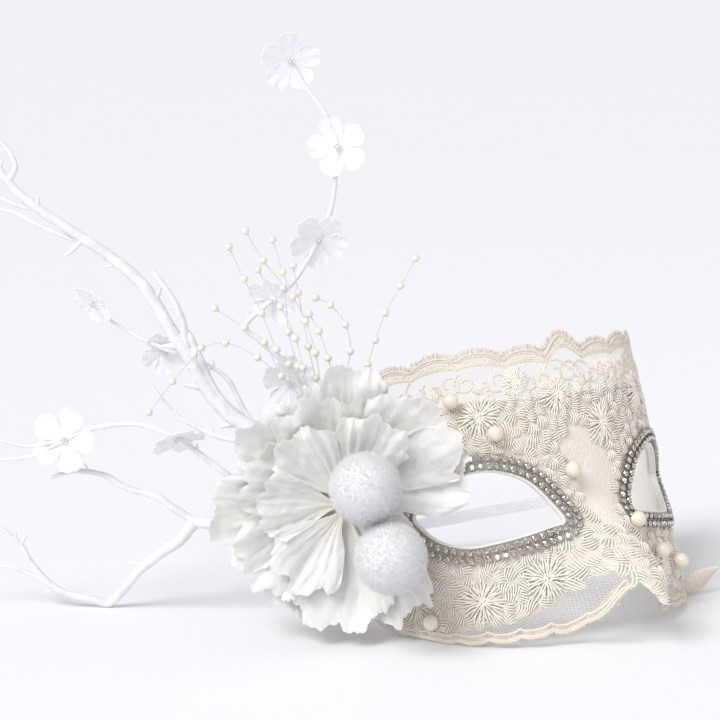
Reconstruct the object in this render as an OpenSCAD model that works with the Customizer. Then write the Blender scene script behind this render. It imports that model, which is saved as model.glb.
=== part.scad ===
// Venetian masquerade mask: a lace-covered half mask with stone-set eyes,
// a silk flower with pompoms at one temple, and a spray of white branches,
// blossoms and pearl stems behind it. Millimetres, +Z up, standing on z = 0.

/* [Mask] */
// Straight width across the temples
mask_w = 170; // [150:5:190]
// How far the temples run back from the bridge
mask_depth = 78; // [60:2:92]
// Height of the base above the eye line, at the bridge
brow_h = 45; // [40:1:56]
// Height of the base below the eye line, at the cheeks
cheek_h = 42; // [36:1:52]
// How far the nose stands out at its tip
nose_out = 30; // [18:1:36]
// Backward lean of the whole mask, in degrees
lean = 21; // [5:1:25]
// Thickness of the stiff base
base_t = 1.6; // [1.2:0.2:2.6]
// Thickness of the felt lining
lining_t = 0.8; // [0.6:0.2:1.4]
// Thickness of the lace
lace_t = 0.7; // [0.5:0.1:1]
// Height of the scalloped lace edge above the base
upper_lace_h = 21; // [12:1:26]
// Height of the scalloped lace edge below the base, at the cheeks
lower_lace_h = 7; // [5:1:10]

/* [Eyes] */
// Length of an eye hole, measured along the mask
eye_w = 61; // [50:1:66]
// Height of an eye hole
eye_h = 30; // [22:1:34]
// Distance of an eye hole's centre from the bridge, measured along the mask
eye_x = 48; // [44:1:56]
// Height of an eye hole's centre above the eye line
eye_z = 5; // [2:1:8]
// Width of one stone cup
cup_d = 3; // [2.4:0.1:3.4]
// Gap between neighbouring cups
cup_gap = 0.35; // [0.2:0.05:0.8]

/* [Flower] */
// Distance of the flower's seat from the temple end, measured along the mask
seat_in = 25.5; // [20:0.5:32]
// Height of the flower's seat above the eye line
seat_z = 24; // [16:1:30]
// Radius of the back petals
petal_r = 51; // [40:1:53]
// Diameter of a pompom
pompom_d = 28.5; // [22:0.5:30]
// Diameter of a blossom
blossom_d = 25; // [18:1:30]

/* [Branches] */
// Size of the spray of branches, as a share of its full spread
branch_scale = 1; // [0.8:0.05:1.2]
// Diameter of the pearls on the stems
bead_d = 3.3; // [2.4:0.1:4]
// Diameter of the loose pearls on the mask
pearl_d = 6.5; // [5:0.5:8]

/* [Strap] */
// Width of the flat elastic
strap_w = 6; // [4:1:8]
// Thickness of the flat elastic
strap_t = 1.2; // [1:0.2:1.6]

/* [Hidden] */
SIDES = ["right", "left"];
BLOSSOMS = 9;
STEMS = 10;

// Colours
lace_c = [0.93, 0.89, 0.83];
base_c = [0.92, 0.88, 0.8];
silver_c = [0.6, 0.6, 0.62];
stone_c = [0.86, 0.88, 0.9];
pearl_c = [0.94, 0.89, 0.8];
petal_c = [0.95, 0.94, 0.9];
white_c = [0.97, 0.97, 0.98];
wood_c = [0.9, 0.9, 0.93];

// Clearances
skin_gap = 0.1;
seat_gap = 0.4;

// ---------------------------------------------------------------- the mask's bow
half_w = mask_w / 2;
bow_share = 0.4;
bow_steps = 60;
// Depth of the bow at a straight distance x from the bridge
function bow(x) = let (q = x / half_w)
    mask_depth * (bow_share * pow(q, 2) + (1 - bow_share) * pow(q, 4));
function step_x(i) = half_w * i / bow_steps;
function step_len(i) = norm([step_x(1), bow(step_x(i + 1)) - bow(step_x(i))]);
// Pairs of length along the bow and straight distance
bow_table = [for (i = 0, s = 0; i <= bow_steps; s = s + step_len(i), i = i + 1) [s, step_x(i)]];
half_len = bow_table[bow_steps][0];
function x_at(s) = sign(s) * lookup(abs(s), bow_table);
function ease(q) = let (c = min(max(q, 0), 1)) c * c * (3 - 2 * c);
nose_root = 6;
nose_tip = -46;
nose_half = 24;
nose_crown = 1.35;
// Swell of the nose at straight distance x and height h
function nose(x, h) = abs(x) >= nose_half ? 0
    : nose_out * ease((nose_root - h) / (nose_root - nose_tip)) * pow(cos(90 * x / nose_half), nose_crown);
// Point of the upright surface, s along the bow and h above the eye line
function upright(s, h) = let (x = x_at(s)) [x, bow(x) - nose(x, h), h];
function tilt(p) = [p[0], p[1] * cos(lean) + p[2] * sin(lean), p[2] * cos(lean) - p[1] * sin(lean)];
function unit(v) = v / norm(v);
fd = 0.4;
function outward(s, h) = unit(cross(
    tilt(upright(s + fd, h)) - tilt(upright(s - fd, h)),
    tilt(upright(s, h + fd)) - tilt(upright(s, h - fd))));
// Point a distance off in front of the base's front face, before the mask is lifted
function low_skin(s, h, off) = tilt(upright(s, h)) + off * outward(s, h);

// ---------------------------------------------------------------- outlines, flat
// Rounded ends of the mask: 1 over most of the length, less near the temples
end_from = 0.6;
end_keep = 0.42;
function fade(s) = let (q = max(0, (abs(s) / half_len - end_from) / (1 - end_from)))
    end_keep + (1 - end_keep) * sqrt(max(0, 1 - q * q));
end_mid = 8;
// Profile heights between the bridge and the temples, as pairs of share and height
top_rise = [[0, 0], [0.2, 1], [0.4, 4], [0.6, 3], [1, 0]];
low_rise = [[0, -6], [0.025, -2], [0.055, 9], [0.08, 12], [0.11, 13], [0.16, 9], [0.22, 5], [0.3, 1],
    [0.36, 0], [0.6, 0], [0.71, 2], [0.8, 4], [0.9, 12], [1, 18]];
// Drop of the hem below the base, as a share of the lower lace's height
hem_drop = [[0, 0.1], [0.055, 0.3], [0.08, 1], [0.13, 2.4], [0.18, 2.1], [0.3, 1.1], [0.45, 0.8],
    [0.6, 0.4], [0.71, 0.2], [1, 0.15]];
table_blur = 0.02;
function smooth_lookup(q, table) =
    (lookup(q - table_blur, table) + lookup(q, table) + lookup(q + table_blur, table)) / 3;
function top_at(s) = end_mid + (brow_h + smooth_lookup(abs(s) / half_len, top_rise) - end_mid) * fade(s);
function low_at(s) = end_mid
    + (smooth_lookup(abs(s) / half_len, low_rise) - cheek_h - end_mid) * fade(s);
scallops = 13;
scallop_h = 4;
// Height of the scallops at s, 0 in a notch and scallop_h on a crest
function scallop(s) = scallop_h * sqrt(abs(cos(180 * scallops * s / (2 * half_len))));
lace_join = 3;
// The middle scallop stands higher, over this half width
crest_lift = 5;
crest_half = 12;
// Share of the lace's height that is left at the temples, and how fast it comes back
temple_keep = 0.35;
temple_fade = 2.5;
function upper_edge(s) = top_at(s) + scallop(s) + crest_lift * (1 - ease(abs(s) / crest_half))
    + (upper_lace_h - scallop_h)
    * (temple_keep + (1 - temple_keep) * ease((1 - abs(s) / half_len) * temple_fade));
// Scallops of the hem, as shares of the upper ones' height and pitch; they fade out from here
hem_scallop = 0.5;
hem_pitch = 1.5;
hem_until = 0.5;
hem_fade = 5;
function lower_edge(s) = low_at(s) - lower_lace_h * smooth_lookup(abs(s) / half_len, hem_drop)
    - hem_scallop * scallop(hem_pitch * s) * (1 - ease((abs(s) / half_len - hem_until) * hem_fade));

// The mask stands on the lowest point of its lower lace
rise_steps = 60;
rise = -min([for (i = [-rise_steps:rise_steps]) let (s = half_len * i / rise_steps)
    low_skin(s, lower_edge(s), skin_gap)[2]]);
function skin(s, h, off) = low_skin(s, h, off) + [0, 0, rise];

// Distance from the mask's bridge to the middle of the whole, so that the origin is the middle of its base
middle = [-64.7, 65.4];
module placed() translate([-middle[0], -middle[1], 0]) children();

// Joins meshed shapes into one skin
module fused() resize([0, 0, 0]) children();

// ---------------------------------------------------------------- closed sheets
// Closed sheet between two point grids of the same size
module sheet(front, back) {
    rows = len(front);
    cols = len(front[0]);
    n = rows * cols;
    function at(r, c) = r * cols + c;
    points = concat([for (r = front) each r], [for (r = back) each r]);
    faces = concat(
        [for (r = [0:rows - 2], c = [0:cols - 2]) each [
            [at(r, c), at(r + 1, c + 1), at(r + 1, c)],
            [at(r, c), at(r, c + 1), at(r + 1, c + 1)],
            [n + at(r, c), n + at(r + 1, c), n + at(r + 1, c + 1)],
            [n + at(r, c), n + at(r + 1, c + 1), n + at(r, c + 1)]]],
        [for (c = [0:cols - 2]) each [
            [at(0, c), n + at(0, c), at(0, c + 1)],
            [at(0, c + 1), n + at(0, c), n + at(0, c + 1)],
            [at(rows - 1, c), at(rows - 1, c + 1), n + at(rows - 1, c)],
            [at(rows - 1, c + 1), n + at(rows - 1, c + 1), n + at(rows - 1, c)]]],
        [for (r = [0:rows - 2]) each [
            [at(r, 0), at(r + 1, 0), n + at(r, 0)],
            [at(r + 1, 0), n + at(r + 1, 0), n + at(r, 0)],
            [at(r, cols - 1), n + at(r, cols - 1), at(r + 1, cols - 1)],
            [at(r + 1, cols - 1), n + at(r, cols - 1), n + at(r + 1, cols - 1)]]]
    );
    polyhedron(points, faces, convexity = 10);
}

// Lengthwise places, closer together over the nose
sheet_cols = 44;
col_even = 0.45;
col_power = 1.6;
function col_at(c) = let (q = 2 * c / sheet_cols - 1)
    half_len * sign(q) * (col_even * abs(q) + (1 - col_even) * pow(abs(q), col_power));
sheet_rows = 10;
// Point between the rows of the mask's facets, so that every layer has the same facets
function layer_pt(s, v, off) = let (i = min(floor(v), sheet_rows - 1), f = v - i,
    lo = low_at(s), dh = (top_at(s) - lo) / sheet_rows)
    skin(s, lo + dh * i, off) * (1 - f) + skin(s, lo + dh * (i + 1), off) * f;
// Row numbers of a layer that stops short of both edges by trim
row_shrink = 0.02;
function layer_row(r, cut) =
    min(sheet_rows - cut - row_shrink * (sheet_rows - r), max(cut + row_shrink * r, r));
// Layer of the mask between two offsets from its front face
module layer(inner, outer, trim) {
    grid = function (off) [for (r = [0:sheet_rows]) [for (c = [0:sheet_cols])
        let (s = col_at(c), cut = trim * sheet_rows / (top_at(s) - low_at(s)))
        layer_pt(s, layer_row(r, cut), off)]];
    sheet(grid(inner), grid(outer));
}

// ---------------------------------------------------------------- eye holes
// Almond outline about the hole's centre, as shares of its half length and half height
eye_shape = [[-1, -0.76], [-0.84, -0.1], [-0.6, 0.5], [-0.3, 0.85], [0.0, 1], [0.3, 0.95], [0.6, 0.72],
    [1, 0.2], [0.9, -0.28], [0.68, -0.7], [0.35, -0.97], [0.0, -1], [-0.4, -0.96], [-0.8, -0.86]];
eye_n = len(eye_shape);
function ring_pt(i) = eye_shape[(i + eye_n) % eye_n];
// Smooth closed curve through the outline's points
function curve_pt(i, t) = let (a = ring_pt(i - 1), b = ring_pt(i), c = ring_pt(i + 1), d = ring_pt(i + 2))
    0.5 * (2 * b + (c - a) * t + (2 * a - 5 * b + 4 * c - d) * t * t + (3 * b - a - 3 * c + d) * t * t * t);
eye_fine = 4;
eye_curve = [for (i = [0:eye_n - 1], k = [0:eye_fine - 1]) let (p = curve_pt(i, k / eye_fine))
    [eye_x + p[0] * eye_w / 2, eye_z + p[1] * eye_h / 2]];
curve_n = len(eye_curve);
// Outline moved outwards by off
function eye_off(off) = [for (i = [0:curve_n - 1])
    let (a = eye_curve[(i + curve_n - 1) % curve_n], b = eye_curve[(i + 1) % curve_n], t = unit(b - a))
    eye_curve[i] + off * [-t[1], t[0]]];
// Side +1 is the wearer's left, -1 the right
function side(s) = s == "left" ? 1 : -1;

// Solid that cuts an eye hole through the base, its lining or its cover
module eye_cutter(sgn, off, near, far) {
    ring = eye_off(off);
    pts = sgn > 0 ? ring : [for (i = [curve_n - 1:-1:0]) ring[i]];
    loop = function (d) [for (p = pts) skin(sgn * p[0], p[1], d)];
    points = concat(loop(near), loop(far));
    mid = function (d) skin(sgn * eye_x, eye_z, d);
    faces = concat(
        [for (i = [0:curve_n - 1]) let (j = (i + 1) % curve_n) each [
            [i, j, curve_n + i], [j, curve_n + j, curve_n + i],
            [2 * curve_n, j, i], [2 * curve_n + 1, curve_n + i, curve_n + j]]]);
    polyhedron(concat(points, [mid(near), mid(far)]), faces, convexity = 6);
}
cut_reach = 6;
module with_eyes(off) fused() difference() {
    children();
    for (s = SIDES) eye_cutter(side(s), off, -base_t - lining_t - cut_reach, cut_reach);
}

// How far the lining and the cover stop short of the base's edges and eye holes
lining_trim = 2;
lining_eye = 1.2;
cover_trim = lace_join + 0.8;
cover_eye = 0.5;
module mask_base() color(base_c) placed() with_eyes(0) layer(-base_t, 0, 0);
module inner_lining() color(petal_c) placed()
    with_eyes(lining_eye) layer(-base_t - skin_gap - lining_t, -base_t - skin_gap, lining_trim);
module lace_cover() color(lace_c) placed()
    with_eyes(cover_eye) layer(skin_gap, skin_gap + lace_t, cover_trim);

// ---------------------------------------------------------------- lace edges
edge_cols = 90;
edge_gap = 0.5;
module edge_lace(start, end, cols, from, to) {
    grid = function (off) [for (r = [0:edge_rows]) [for (c = [0:cols])
        let (s = start + (end - start) * c / cols)
        skin(s, from(s) + (to(s) - from(s)) * r / edge_rows, off)]];
    sheet(grid(edge_gap), grid(edge_gap + lace_t));
}
edge_rows = 2;
edge_end = half_len - 0.5;
hem_from = 8;
module upper_lace() color(lace_c) placed()
    edge_lace(-edge_end, edge_end, edge_cols, function (s) top_at(s) - lace_join, function (s) upper_edge(s));
module lower_lace(sgn) color(lace_c) placed()
    edge_lace(sgn > 0 ? hem_from : -edge_end, sgn > 0 ? edge_end : -hem_from, edge_cols / 2,
        function (s) lower_edge(s), function (s) low_at(s) + lace_join);

// ---------------------------------------------------------------- stones round the eyes
cup_h = 1.3;
cup_wall = 0.25;
stone_h = 0.8;
lace_top = skin_gap + lace_t;
// Bare rim between the eye hole and the first row, and how much slimmer a cup is than its place
row_rim = 0.6;
cup_slim = 0.25;
row_offs = [row_rim + cup_d / 2, row_rim + cup_d / 2 + cup_d + cup_gap];
// Table of length round the row and flat position
function row_pt(p) = low_skin(p[0], p[1], lace_top);
function row_table(off) = let (ring = eye_off(off)) [for (i = 0, l = 0; i <= curve_n;
    l = l + norm(row_pt(ring[(i + 1) % curve_n]) - row_pt(ring[i % curve_n])), i = i + 1)
    [l, ring[i % curve_n][0], ring[i % curve_n][1]]];
// Matrix that stands a piece on the lace at s and h
function stand(s, h, off) = let (n = outward(s, h), t = unit(skin(s + fd, h, 0) - skin(s - fd, h, 0)),
    b = cross(n, t), p = skin(s, h, off))
    [[t[0], b[0], n[0], p[0]], [t[1], b[1], n[1], p[1]], [t[2], b[2], n[2], p[2]], [0, 0, 0, 1]];
module along_row(sgn, off, lift) {
    table = row_table(off);
    total = table[curve_n][0];
    count = floor(total / (cup_d + cup_gap));
    sx = [for (r = table) [r[0], r[1]]];
    sh = [for (r = table) [r[0], r[2]]];
    for (k = [0:count - 1]) {
        l = total * k / count;
        multmatrix(stand(sgn * lookup(l, sx), lookup(l, sh), lift)) children();
    }
}
seat_lift = lace_top + seat_gap;
module cups(sgn) color(silver_c) placed() for (off = row_offs) along_row(sgn, off, seat_lift)
    cylinder(d = cup_d - cup_slim, h = cup_h, $fn = 6);
module stones(sgn) color(stone_c) placed() for (off = row_offs) along_row(sgn, off, seat_lift + cup_h)
    cylinder(d = cup_d - cup_slim - 2 * cup_wall, h = stone_h, $fn = 4);

// Pearls sewn on the lace, as flat places
pearl_places = [[-53, 50], [-39, 33.5], [-10, 13.5], [-79, -36], [11.6, -13.4], [30, -26], [46, -32]];
module face_pearls() color(pearl_c) placed() for (p = pearl_places)
    translate(skin(p[0], p[1], lace_top + seat_gap + pearl_d / 2)) sphere(d = pearl_d);

// ---------------------------------------------------------------- strap and its tabs
tab_s = half_len - 7;
tab_h = 6;
tab_r = 5;
tab_t = 1.4;
tab_off = -base_t - lining_t - 2 * skin_gap;
module strap_tab(sgn) color(petal_c) placed()
    multmatrix(stand(sgn * tab_s, tab_h, tab_off - seat_gap - tab_t)) cylinder(r = tab_r, h = tab_t);
tab_end = low_skin(tab_s, tab_h, tab_off - seat_gap - tab_t - 1) + [0, 0, rise];
// How the strap leaves a tab: inwards, back and down
strap_in = 0.2;
strap_out = 7;
strap_dip = 0.8;
// Route from the right temple to the left one: out of the tab, round behind with a sag, and back
strap_route = [
    [-tab_end[0], tab_end[1], tab_end[2]],
    [-tab_end[0] + strap_in, tab_end[1] + strap_out, tab_end[2] - strap_dip],
    [-77, 88, 32], [-71, 99, 27], [-63, 108, 22.5], [-53, 116, 19], [-42, 121, 16.5], [-30, 125, 15],
    [-18, 127, 14.5], [-6, 127, 14.5], [6, 126, 15], [18, 123, 16], [30, 118, 18], [42, 112, 20],
    [53, 105, 22.5], [63, 97, 26], [72, 88, 30.5],
    [tab_end[0] - strap_in, tab_end[1] + strap_out, tab_end[2] - strap_dip],
    [tab_end[0], tab_end[1], tab_end[2]]];

// Tube of any flat section swept along points, with a radius across and an upright radius at each
function dir_at(p, i) = unit(p[min(i + 1, len(p) - 1)] - p[max(i - 1, 0)]);
module sweep(p, across, along_up, n, ref = [0, 1, 0]) {
    rings = [for (i = [0:len(p) - 1])
        let (t = dir_at(p, i),
             a = unit(cross(t, ref)),
             b = cross(a, t))
        [for (k = [0:n - 1]) p[i] + across(i) * cos(360 * k / n) * a + along_up(i) * sin(360 * k / n) * b]];
    m = len(p);
    points = [for (r = rings) each r];
    faces = concat(
        [[for (k = [n - 1:-1:0]) k]],
        [[for (k = [0:n - 1]) (m - 1) * n + k]],
        [for (i = [0:m - 2], k = [0:n - 1]) let (j = (k + 1) % n) each [
            [i * n + k, (i + 1) * n + j, (i + 1) * n + k],
            [i * n + k, i * n + j, (i + 1) * n + j]]]);
    polyhedron(points, faces, convexity = 10);
}
// Smooth open curve through points, with k steps between neighbours
function open_pt(p, i) = i < 0 ? 2 * p[0] - p[1] : i >= len(p) ? 2 * p[len(p) - 1] - p[len(p) - 2] : p[i];
function smooth(p, k) = concat([for (i = [0:len(p) - 2], j = [0:k - 1])
    let (t = j / k, a = open_pt(p, i - 1), b = open_pt(p, i), c = open_pt(p, i + 1), d = open_pt(p, i + 2))
    0.5 * (2 * b + (c - a) * t + (2 * a - 5 * b + 4 * c - d) * t * t + (3 * b - a - 3 * c + d) * t * t * t)],
    [p[len(p) - 1]]);
module elastic_strap() color(white_c) placed()
    sweep(smooth(strap_route, 3), function (i) strap_t / 2, function (i) strap_w / 2, 8, [0, 0, 1]);

// ---------------------------------------------------------------- the flower
flower_turn = -34;
seat_x = half_len - seat_in;
seat = skin(-seat_x, seat_z, lace_top + seat_gap);
flower_side = 5;
function turned(p) = [p[0] * cos(flower_turn) - p[1] * sin(flower_turn),
    p[0] * sin(flower_turn) + p[1] * cos(flower_turn), p[2]];
// The flower stands far enough off its seat for the petals to pass the eye's trim
petal_clear = -0.85;
lift_least = 21;
flower_lift = max(lift_least, petal_clear + (skin(-eye_x, eye_z, lace_top + cup_h) - seat) * turned([0, -1, 0]));
// Heart of the flower; its own frame has X across, Y to the back and Z up
heart = seat - turned([flower_side, flower_lift, 0]);
module bouquet() placed() translate(heart) rotate([0, 0, flower_turn]) children();

pad_r = 9;
pad_n = 16;
pad_front = 1.2;
module flower_pad() color(petal_c) placed() {
    ring = [for (k = [0:pad_n - 1]) pad_r * [cos(-360 * k / pad_n), sin(-360 * k / pad_n)]];
    low = [for (p = ring) skin(p[0] - seat_x, p[1] + seat_z, lace_top + seat_gap)];
    up = [for (p = ring) heart + turned([flower_side / 2 + p[0], pad_front, p[1]])];
    polyhedron(concat(low, up, [seat]), concat(
        [for (k = [0:pad_n - 1]) let (j = (k + 1) % pad_n) each [
            [k, j, pad_n + k], [j, pad_n + j, pad_n + k], [2 * pad_n, j, k]]],
        [[for (k = [0:pad_n - 1]) pad_n + k]]), convexity = 4);
}

// Ring of petals as one cupped, lobed dish: radius, lobes, turn, cup and place of its back
petal_steps = 48;
petal_rows = 3;
petal_t = 1.2;
lobe_power = 0.6;
petal_hole = 2.5;
module petal_ring(r, lobes, dip, turn, cup, back) {
    function reach(a) = r * (1 - dip + dip * pow(abs(cos(lobes * (a - turn) / 2)), lobe_power));
    grid = function (off) [for (i = [0:petal_rows]) [for (k = [0:petal_steps])
        let (a = 360 * k / petal_steps, q = i / petal_rows, rr = petal_hole + (reach(a) - petal_hole) * q)
        [rr * cos(a), back - off - cup * pow(rr / r, 2), rr * sin(a)]]];
    petal_skin(grid(0), grid(petal_t));
}
// Closed ring between two grids whose last column meets the first
module petal_skin(back, front) {
    rows = len(back);
    cols = petal_steps;
    n = rows * cols;
    points = [for (r = concat(back, front), c = [0:cols - 1]) r[c]];
    function at(r, c) = r * cols + c % cols;
    polyhedron(points, concat(
        [for (r = [0:rows - 2], c = [0:cols - 1]) each [
            [at(r, c), at(r + 1, c), at(r + 1, c + 1)],
            [at(r, c), at(r + 1, c + 1), at(r, c + 1)],
            [n + at(r, c), n + at(r + 1, c + 1), n + at(r + 1, c)],
            [n + at(r, c), n + at(r, c + 1), n + at(r + 1, c + 1)]]],
        [for (c = [0:cols - 1]) each [
            [at(0, c), n + at(0, c + 1), n + at(0, c)],
            [at(0, c), at(0, c + 1), n + at(0, c + 1)],
            [at(rows - 1, c), n + at(rows - 1, c), n + at(rows - 1, c + 1)],
            [at(rows - 1, c), n + at(rows - 1, c + 1), at(rows - 1, c + 1)]]]), convexity = 10);
}
petal_step = 8;
module back_petals() color(petal_c) bouquet() petal_ring(petal_r, 6, 0.1, 20, 9, 1);
module middle_petals() color(petal_c) bouquet() petal_ring(petal_r - petal_step, 5, 0.14, 50, 8, -1.6);
module front_petals() color(petal_c) bouquet() petal_ring(petal_r - 2 * petal_step, 5, 0.16, 0, 8, -5.2);

// The pompoms sit in front of the petals, the lower one beside, before and under the upper
pompom_at = [7, -10.5 - pompom_d / 2, 11.5];
pompom_side = 10;
pompom_fore = 8;
pompom_gap = 0.4;
pompom_drop = sqrt(pow(pompom_d + pompom_gap, 2) - pow(pompom_side, 2) - pow(pompom_fore, 2));
module upper_pompom() color(white_c) bouquet() translate(pompom_at) sphere(d = pompom_d);
module lower_pompom() color(white_c) bouquet()
    translate(pompom_at + [pompom_side, -pompom_fore, -pompom_drop]) sphere(d = pompom_d);

// ---------------------------------------------------------------- branches, in the bouquet's frame
// The floor as seen from the heart
ground = -heart[2];
function spread(p) = [for (q = p) [q[0] * branch_scale, q[1], q[2] * branch_scale]];
// Twig along points, thinning from one radius to the other
module twig(p, r0, r1, n = 8) {
    c = smooth(spread(p), 2);
    m = len(c) - 1;
    sweep(c, function (i) r0 + (r1 - r0) * i / m, function (i) r0 + (r1 - r0) * i / m, n);
}
binding_r = [6.5, 8.5, 7.5, 5, 3.5];
module branch_binding() color(white_c) bouquet()
    sweep([[-32, 17.5, 8], [-30, 17.2, 7.5], [-16, 15, 6], [-5, 12.5, 4], [-3, 12, 3.5]],
        function (i) binding_r[i], function (i) binding_r[i], 12);

trunk = [[-20, 16, 8], [-29, 18, 15], [-39, 21, 24], [-53, 23, 35], [-60, 24, 45], [-67, 25, 58],
    [-73, 25, 66],
    [-83, 26, 83], [-97, 27, 96], [-115, 28, 108], [-131, 29, 119], [-140, 30, 128], [-148, 31, 139],
    [-158, 32, 146],
    [-166, 33, 156]];
module main_branch() color(wood_c) bouquet() fused() union() {
    twig(trunk, 4, 1.2, 10);
    twig([[-67, 25, 60], [-68, 23, 70], [-72, 22, 80], [-80, 21, 92]], 1.9, 1.1, 8);
    twig([[-139, 30, 127], [-136, 31, 133], [-140, 32, 141], [-149, 33, 149]], 1.5, 0.6, 6);
    twig([[-124, 29, 115], [-135, 30, 117], [-148, 32, 122], [-158, 32, 121]], 1, 0.5, 6);
    twig([[-104, 28, 101], [-115, 29, 104], [-127, 30, 109], [-140, 31, 115],
        [-156, 31, 114]], 1.1, 0.5, 6);
    twig([[-108, 28, 104], [-113, 26, 99], [-116, 25, 97]], 1.2, 0.7, 6);
    twig([[-61, 25, 48], [-66, 22, 51]], 1.1, 0.6, 6);
    twig([[-45, 22, 29], [-55, 23, 41], [-61, 24, 54], [-66, 24, 66]], 1.8, 1.6, 8);
}
module thin_twig() color(wood_c) bouquet()
    twig([[-20, 20.5, 12], [-33, 26, 20], [-43, 29, 31], [-50, 31, 44], [-59, 33, 50], [-77, 33, 57],
        [-91, 33, 64],
        [-99, 33, 69], [-106, 33, 76]], 1.3, 0.7, 6);
module short_twig() color(wood_c) bouquet()
    twig([[-20, 11.5, 10], [-41, 12, 21], [-54, 16, 25], [-68, 16.5, 32], [-75, 14.5, 39],
        [-81, 14.5, 46]], 1.3, 0.6, 6);
module arching_branch() color(wood_c) bouquet() fused() union() {
    twig([[-20, 13, 1], [-43, 13, 4], [-51, 13, 9], [-64, 13, 19], [-76, 13, 26], [-88, 14, 29],
        [-104, 15, 27],
        [-117, 16, 22], [-132, 17, 19], [-146, 18, 22], [-160, 19, 24]], 1.5, 0.6, 8);
    twig([[-116, 16, 22.4], [-130, 17, 15], [-144, 18, 13], [-160, 19, 12]], 1, 0.5, 6);
}
foot_r = 1.9;
foot_s = [-103, 40, (ground + foot_r + 0.05) / branch_scale];
module forked_branch() color(wood_c) bouquet() fused() union() {
    twig([[-20, 19, 0], [-38, 20, -9], [-53, 22, -15], [-66, 23, -15]], 2.6, 2.3, 8);
    twig([[-63, 23, -15.5], [-73, 23, -9], [-80, 23, -4], [-93, 23, 0], [-101, 23, 5], [-113, 23, 7],
        [-125, 23, 4]],
        1.8, 0.9, 8);
    twig([[-64, 23, -14.5], [-71, 26, -24], [-79, 29, -30], [-88, 33, -38], [-96, 37, -48], foot_s,
        foot_s + [-7, 0, 1.5], foot_s + [-18, 0, 4], foot_s + [-28, 0, 10]], 2.5, 1.5, 8);
    twig([foot_s + [-26, 0, 9], foot_s + [-33, 0, 18], foot_s + [-38, 0, 27], foot_s + [-46, -1, 34],
        foot_s + [-58, -2, 42], foot_s + [-66, -3, 52]], 1.3, 0.5, 6);
    twig([foot_s + [-26, 0, 9], foot_s + [-35, 1, 13], foot_s + [-44, 2, 16], foot_s + [-55, 3, 15],
        foot_s + [-66, 4, 18]], 1.1, 0.5, 6);
    twig([foot_s + [-37.5, 0, 26], foot_s + [-34, 0, 31]], 0.8, 0.4, 6);
}
stem_path = [[-20, 17, 14], [-18, 22, 38], [-26, 23, 52], [-35, 23, 61], [-42, 22, 68], [-35, 21, 76],
    [-27, 21, 82],
    [-20, 21, 90], [-12, 21, 104], [-7, 21, 116], [-5, 21, 129], [-4, 21, 142], [-9, 21, 155],
    [-17, 21, 166],
    [-23, 21, 176]];
module blossom_stem() color(wood_c) bouquet() twig(stem_path, 1.2, 0.9, 6);

// Blossoms: place, turn about the upright and tip, each in degrees
blossom_places = [[[-23, 20, 176], 10, 15, 1], [[-4, 20, 142], -8, 0, 1], [[-12, 20, 104], 12, 20, 1],
    [[-117, 15.5, 22], -10, -5, 1.12], [[-70, 13, 22.5], 30, 55, 0.95], [[-106, 32, 76], -40, 35, 0.8],
    [[-77, 35, 55], 15, 10, 0.8], [[-31, 21, 79], -30, 25, 0.9], [[-24.5, 24, 44], 15, -10, 0.95]];
blossom_t = 1;
LOBES = 5;
lobe_share = 0.4;
heart_share = 0.44;
module blossom(i) color(white_c) bouquet() {
    b = blossom_places[i - 1];
    p = spread([b[0]])[0];
    r = blossom_d * b[3] / 2;
    lobe_r = lobe_share * r;
    translate(p) rotate([90 + b[2], 0, b[1]]) {
        for (k = [0:LOBES - 1]) rotate([0, 0, 360 * k / LOBES + 18 * i])
            translate([r - lobe_r, 0, -blossom_t / 2]) cylinder(r = lobe_r, h = blossom_t);
        translate([0, 0, -blossom_t]) cylinder(r = heart_share * r, h = 2 * blossom_t);
    }
}

// ---------------------------------------------------------------- pearl stems, in the bouquet's frame
// The stems rise from the top of the flower's pad
root_x = 1;
root_gap = 0.7;
stem_pitch = 1;
function root_at(k) = let (x = root_x + stem_pitch * k)
    [x, 0, sqrt(pow(pad_r, 2) - pow(x - flower_side / 2, 2)) + root_gap];
stem_paths = [
    [14, [[-17, 0, 44], [-24, 0, 54], [-29, 0, 60], [-35, 0, 75], [-42, 0, 89], [-48, 0, 102]]],
    [10, [[-20, 0, 54], [-24, 0, 68], [-26, 0, 86], [-34, 0, 97], [-41, 0, 109]]],
    [6, [[-14, 0, 39], [-18, 0, 54], [-21, 0, 66], [-27, 0, 79], [-36, 0, 94]]],
    [6, [[-9.5, 0, 40], [-13, 0, 60], [-17, 0, 73], [-22, 0, 83], [-26, 0, 93], [-30, 0, 106]]],
    [10, [[-9, 0, 39], [-13, 0, 49], [-16, 0, 62], [-18, 0, 73], [-20, 0, 84], [-22, 0, 95]]],
    [6, [[-4, 0, 42], [-8, 0, 58], [-11.6, 0, 69], [-15.6, 0, 76]]],
    [10, [[-2, 0, 42], [1, 0, 60], [-1, 0, 71], [-7, 0, 79], [-13, 0, 82]]],
    [2.2, [[3, 0, 40], [8, 0, 56], [11, 0, 66], [15, 0, 77], [21, 0, 88], [27, 0, 99]]],
    [14, [[-17, 0, 37], [-27, 0, 49], [-34, 0, 63], [-42, 0, 69], [-54, 0, 77]]],
    [18, [[-20, 0, 40], [-37, 0, 56], [-50, 0, 62], [-60, 0, 60], [-63, 0, 57], [-72, 0, 46],
    [-82, 0, 33]]]];
stem_r = 0.4;
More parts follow.
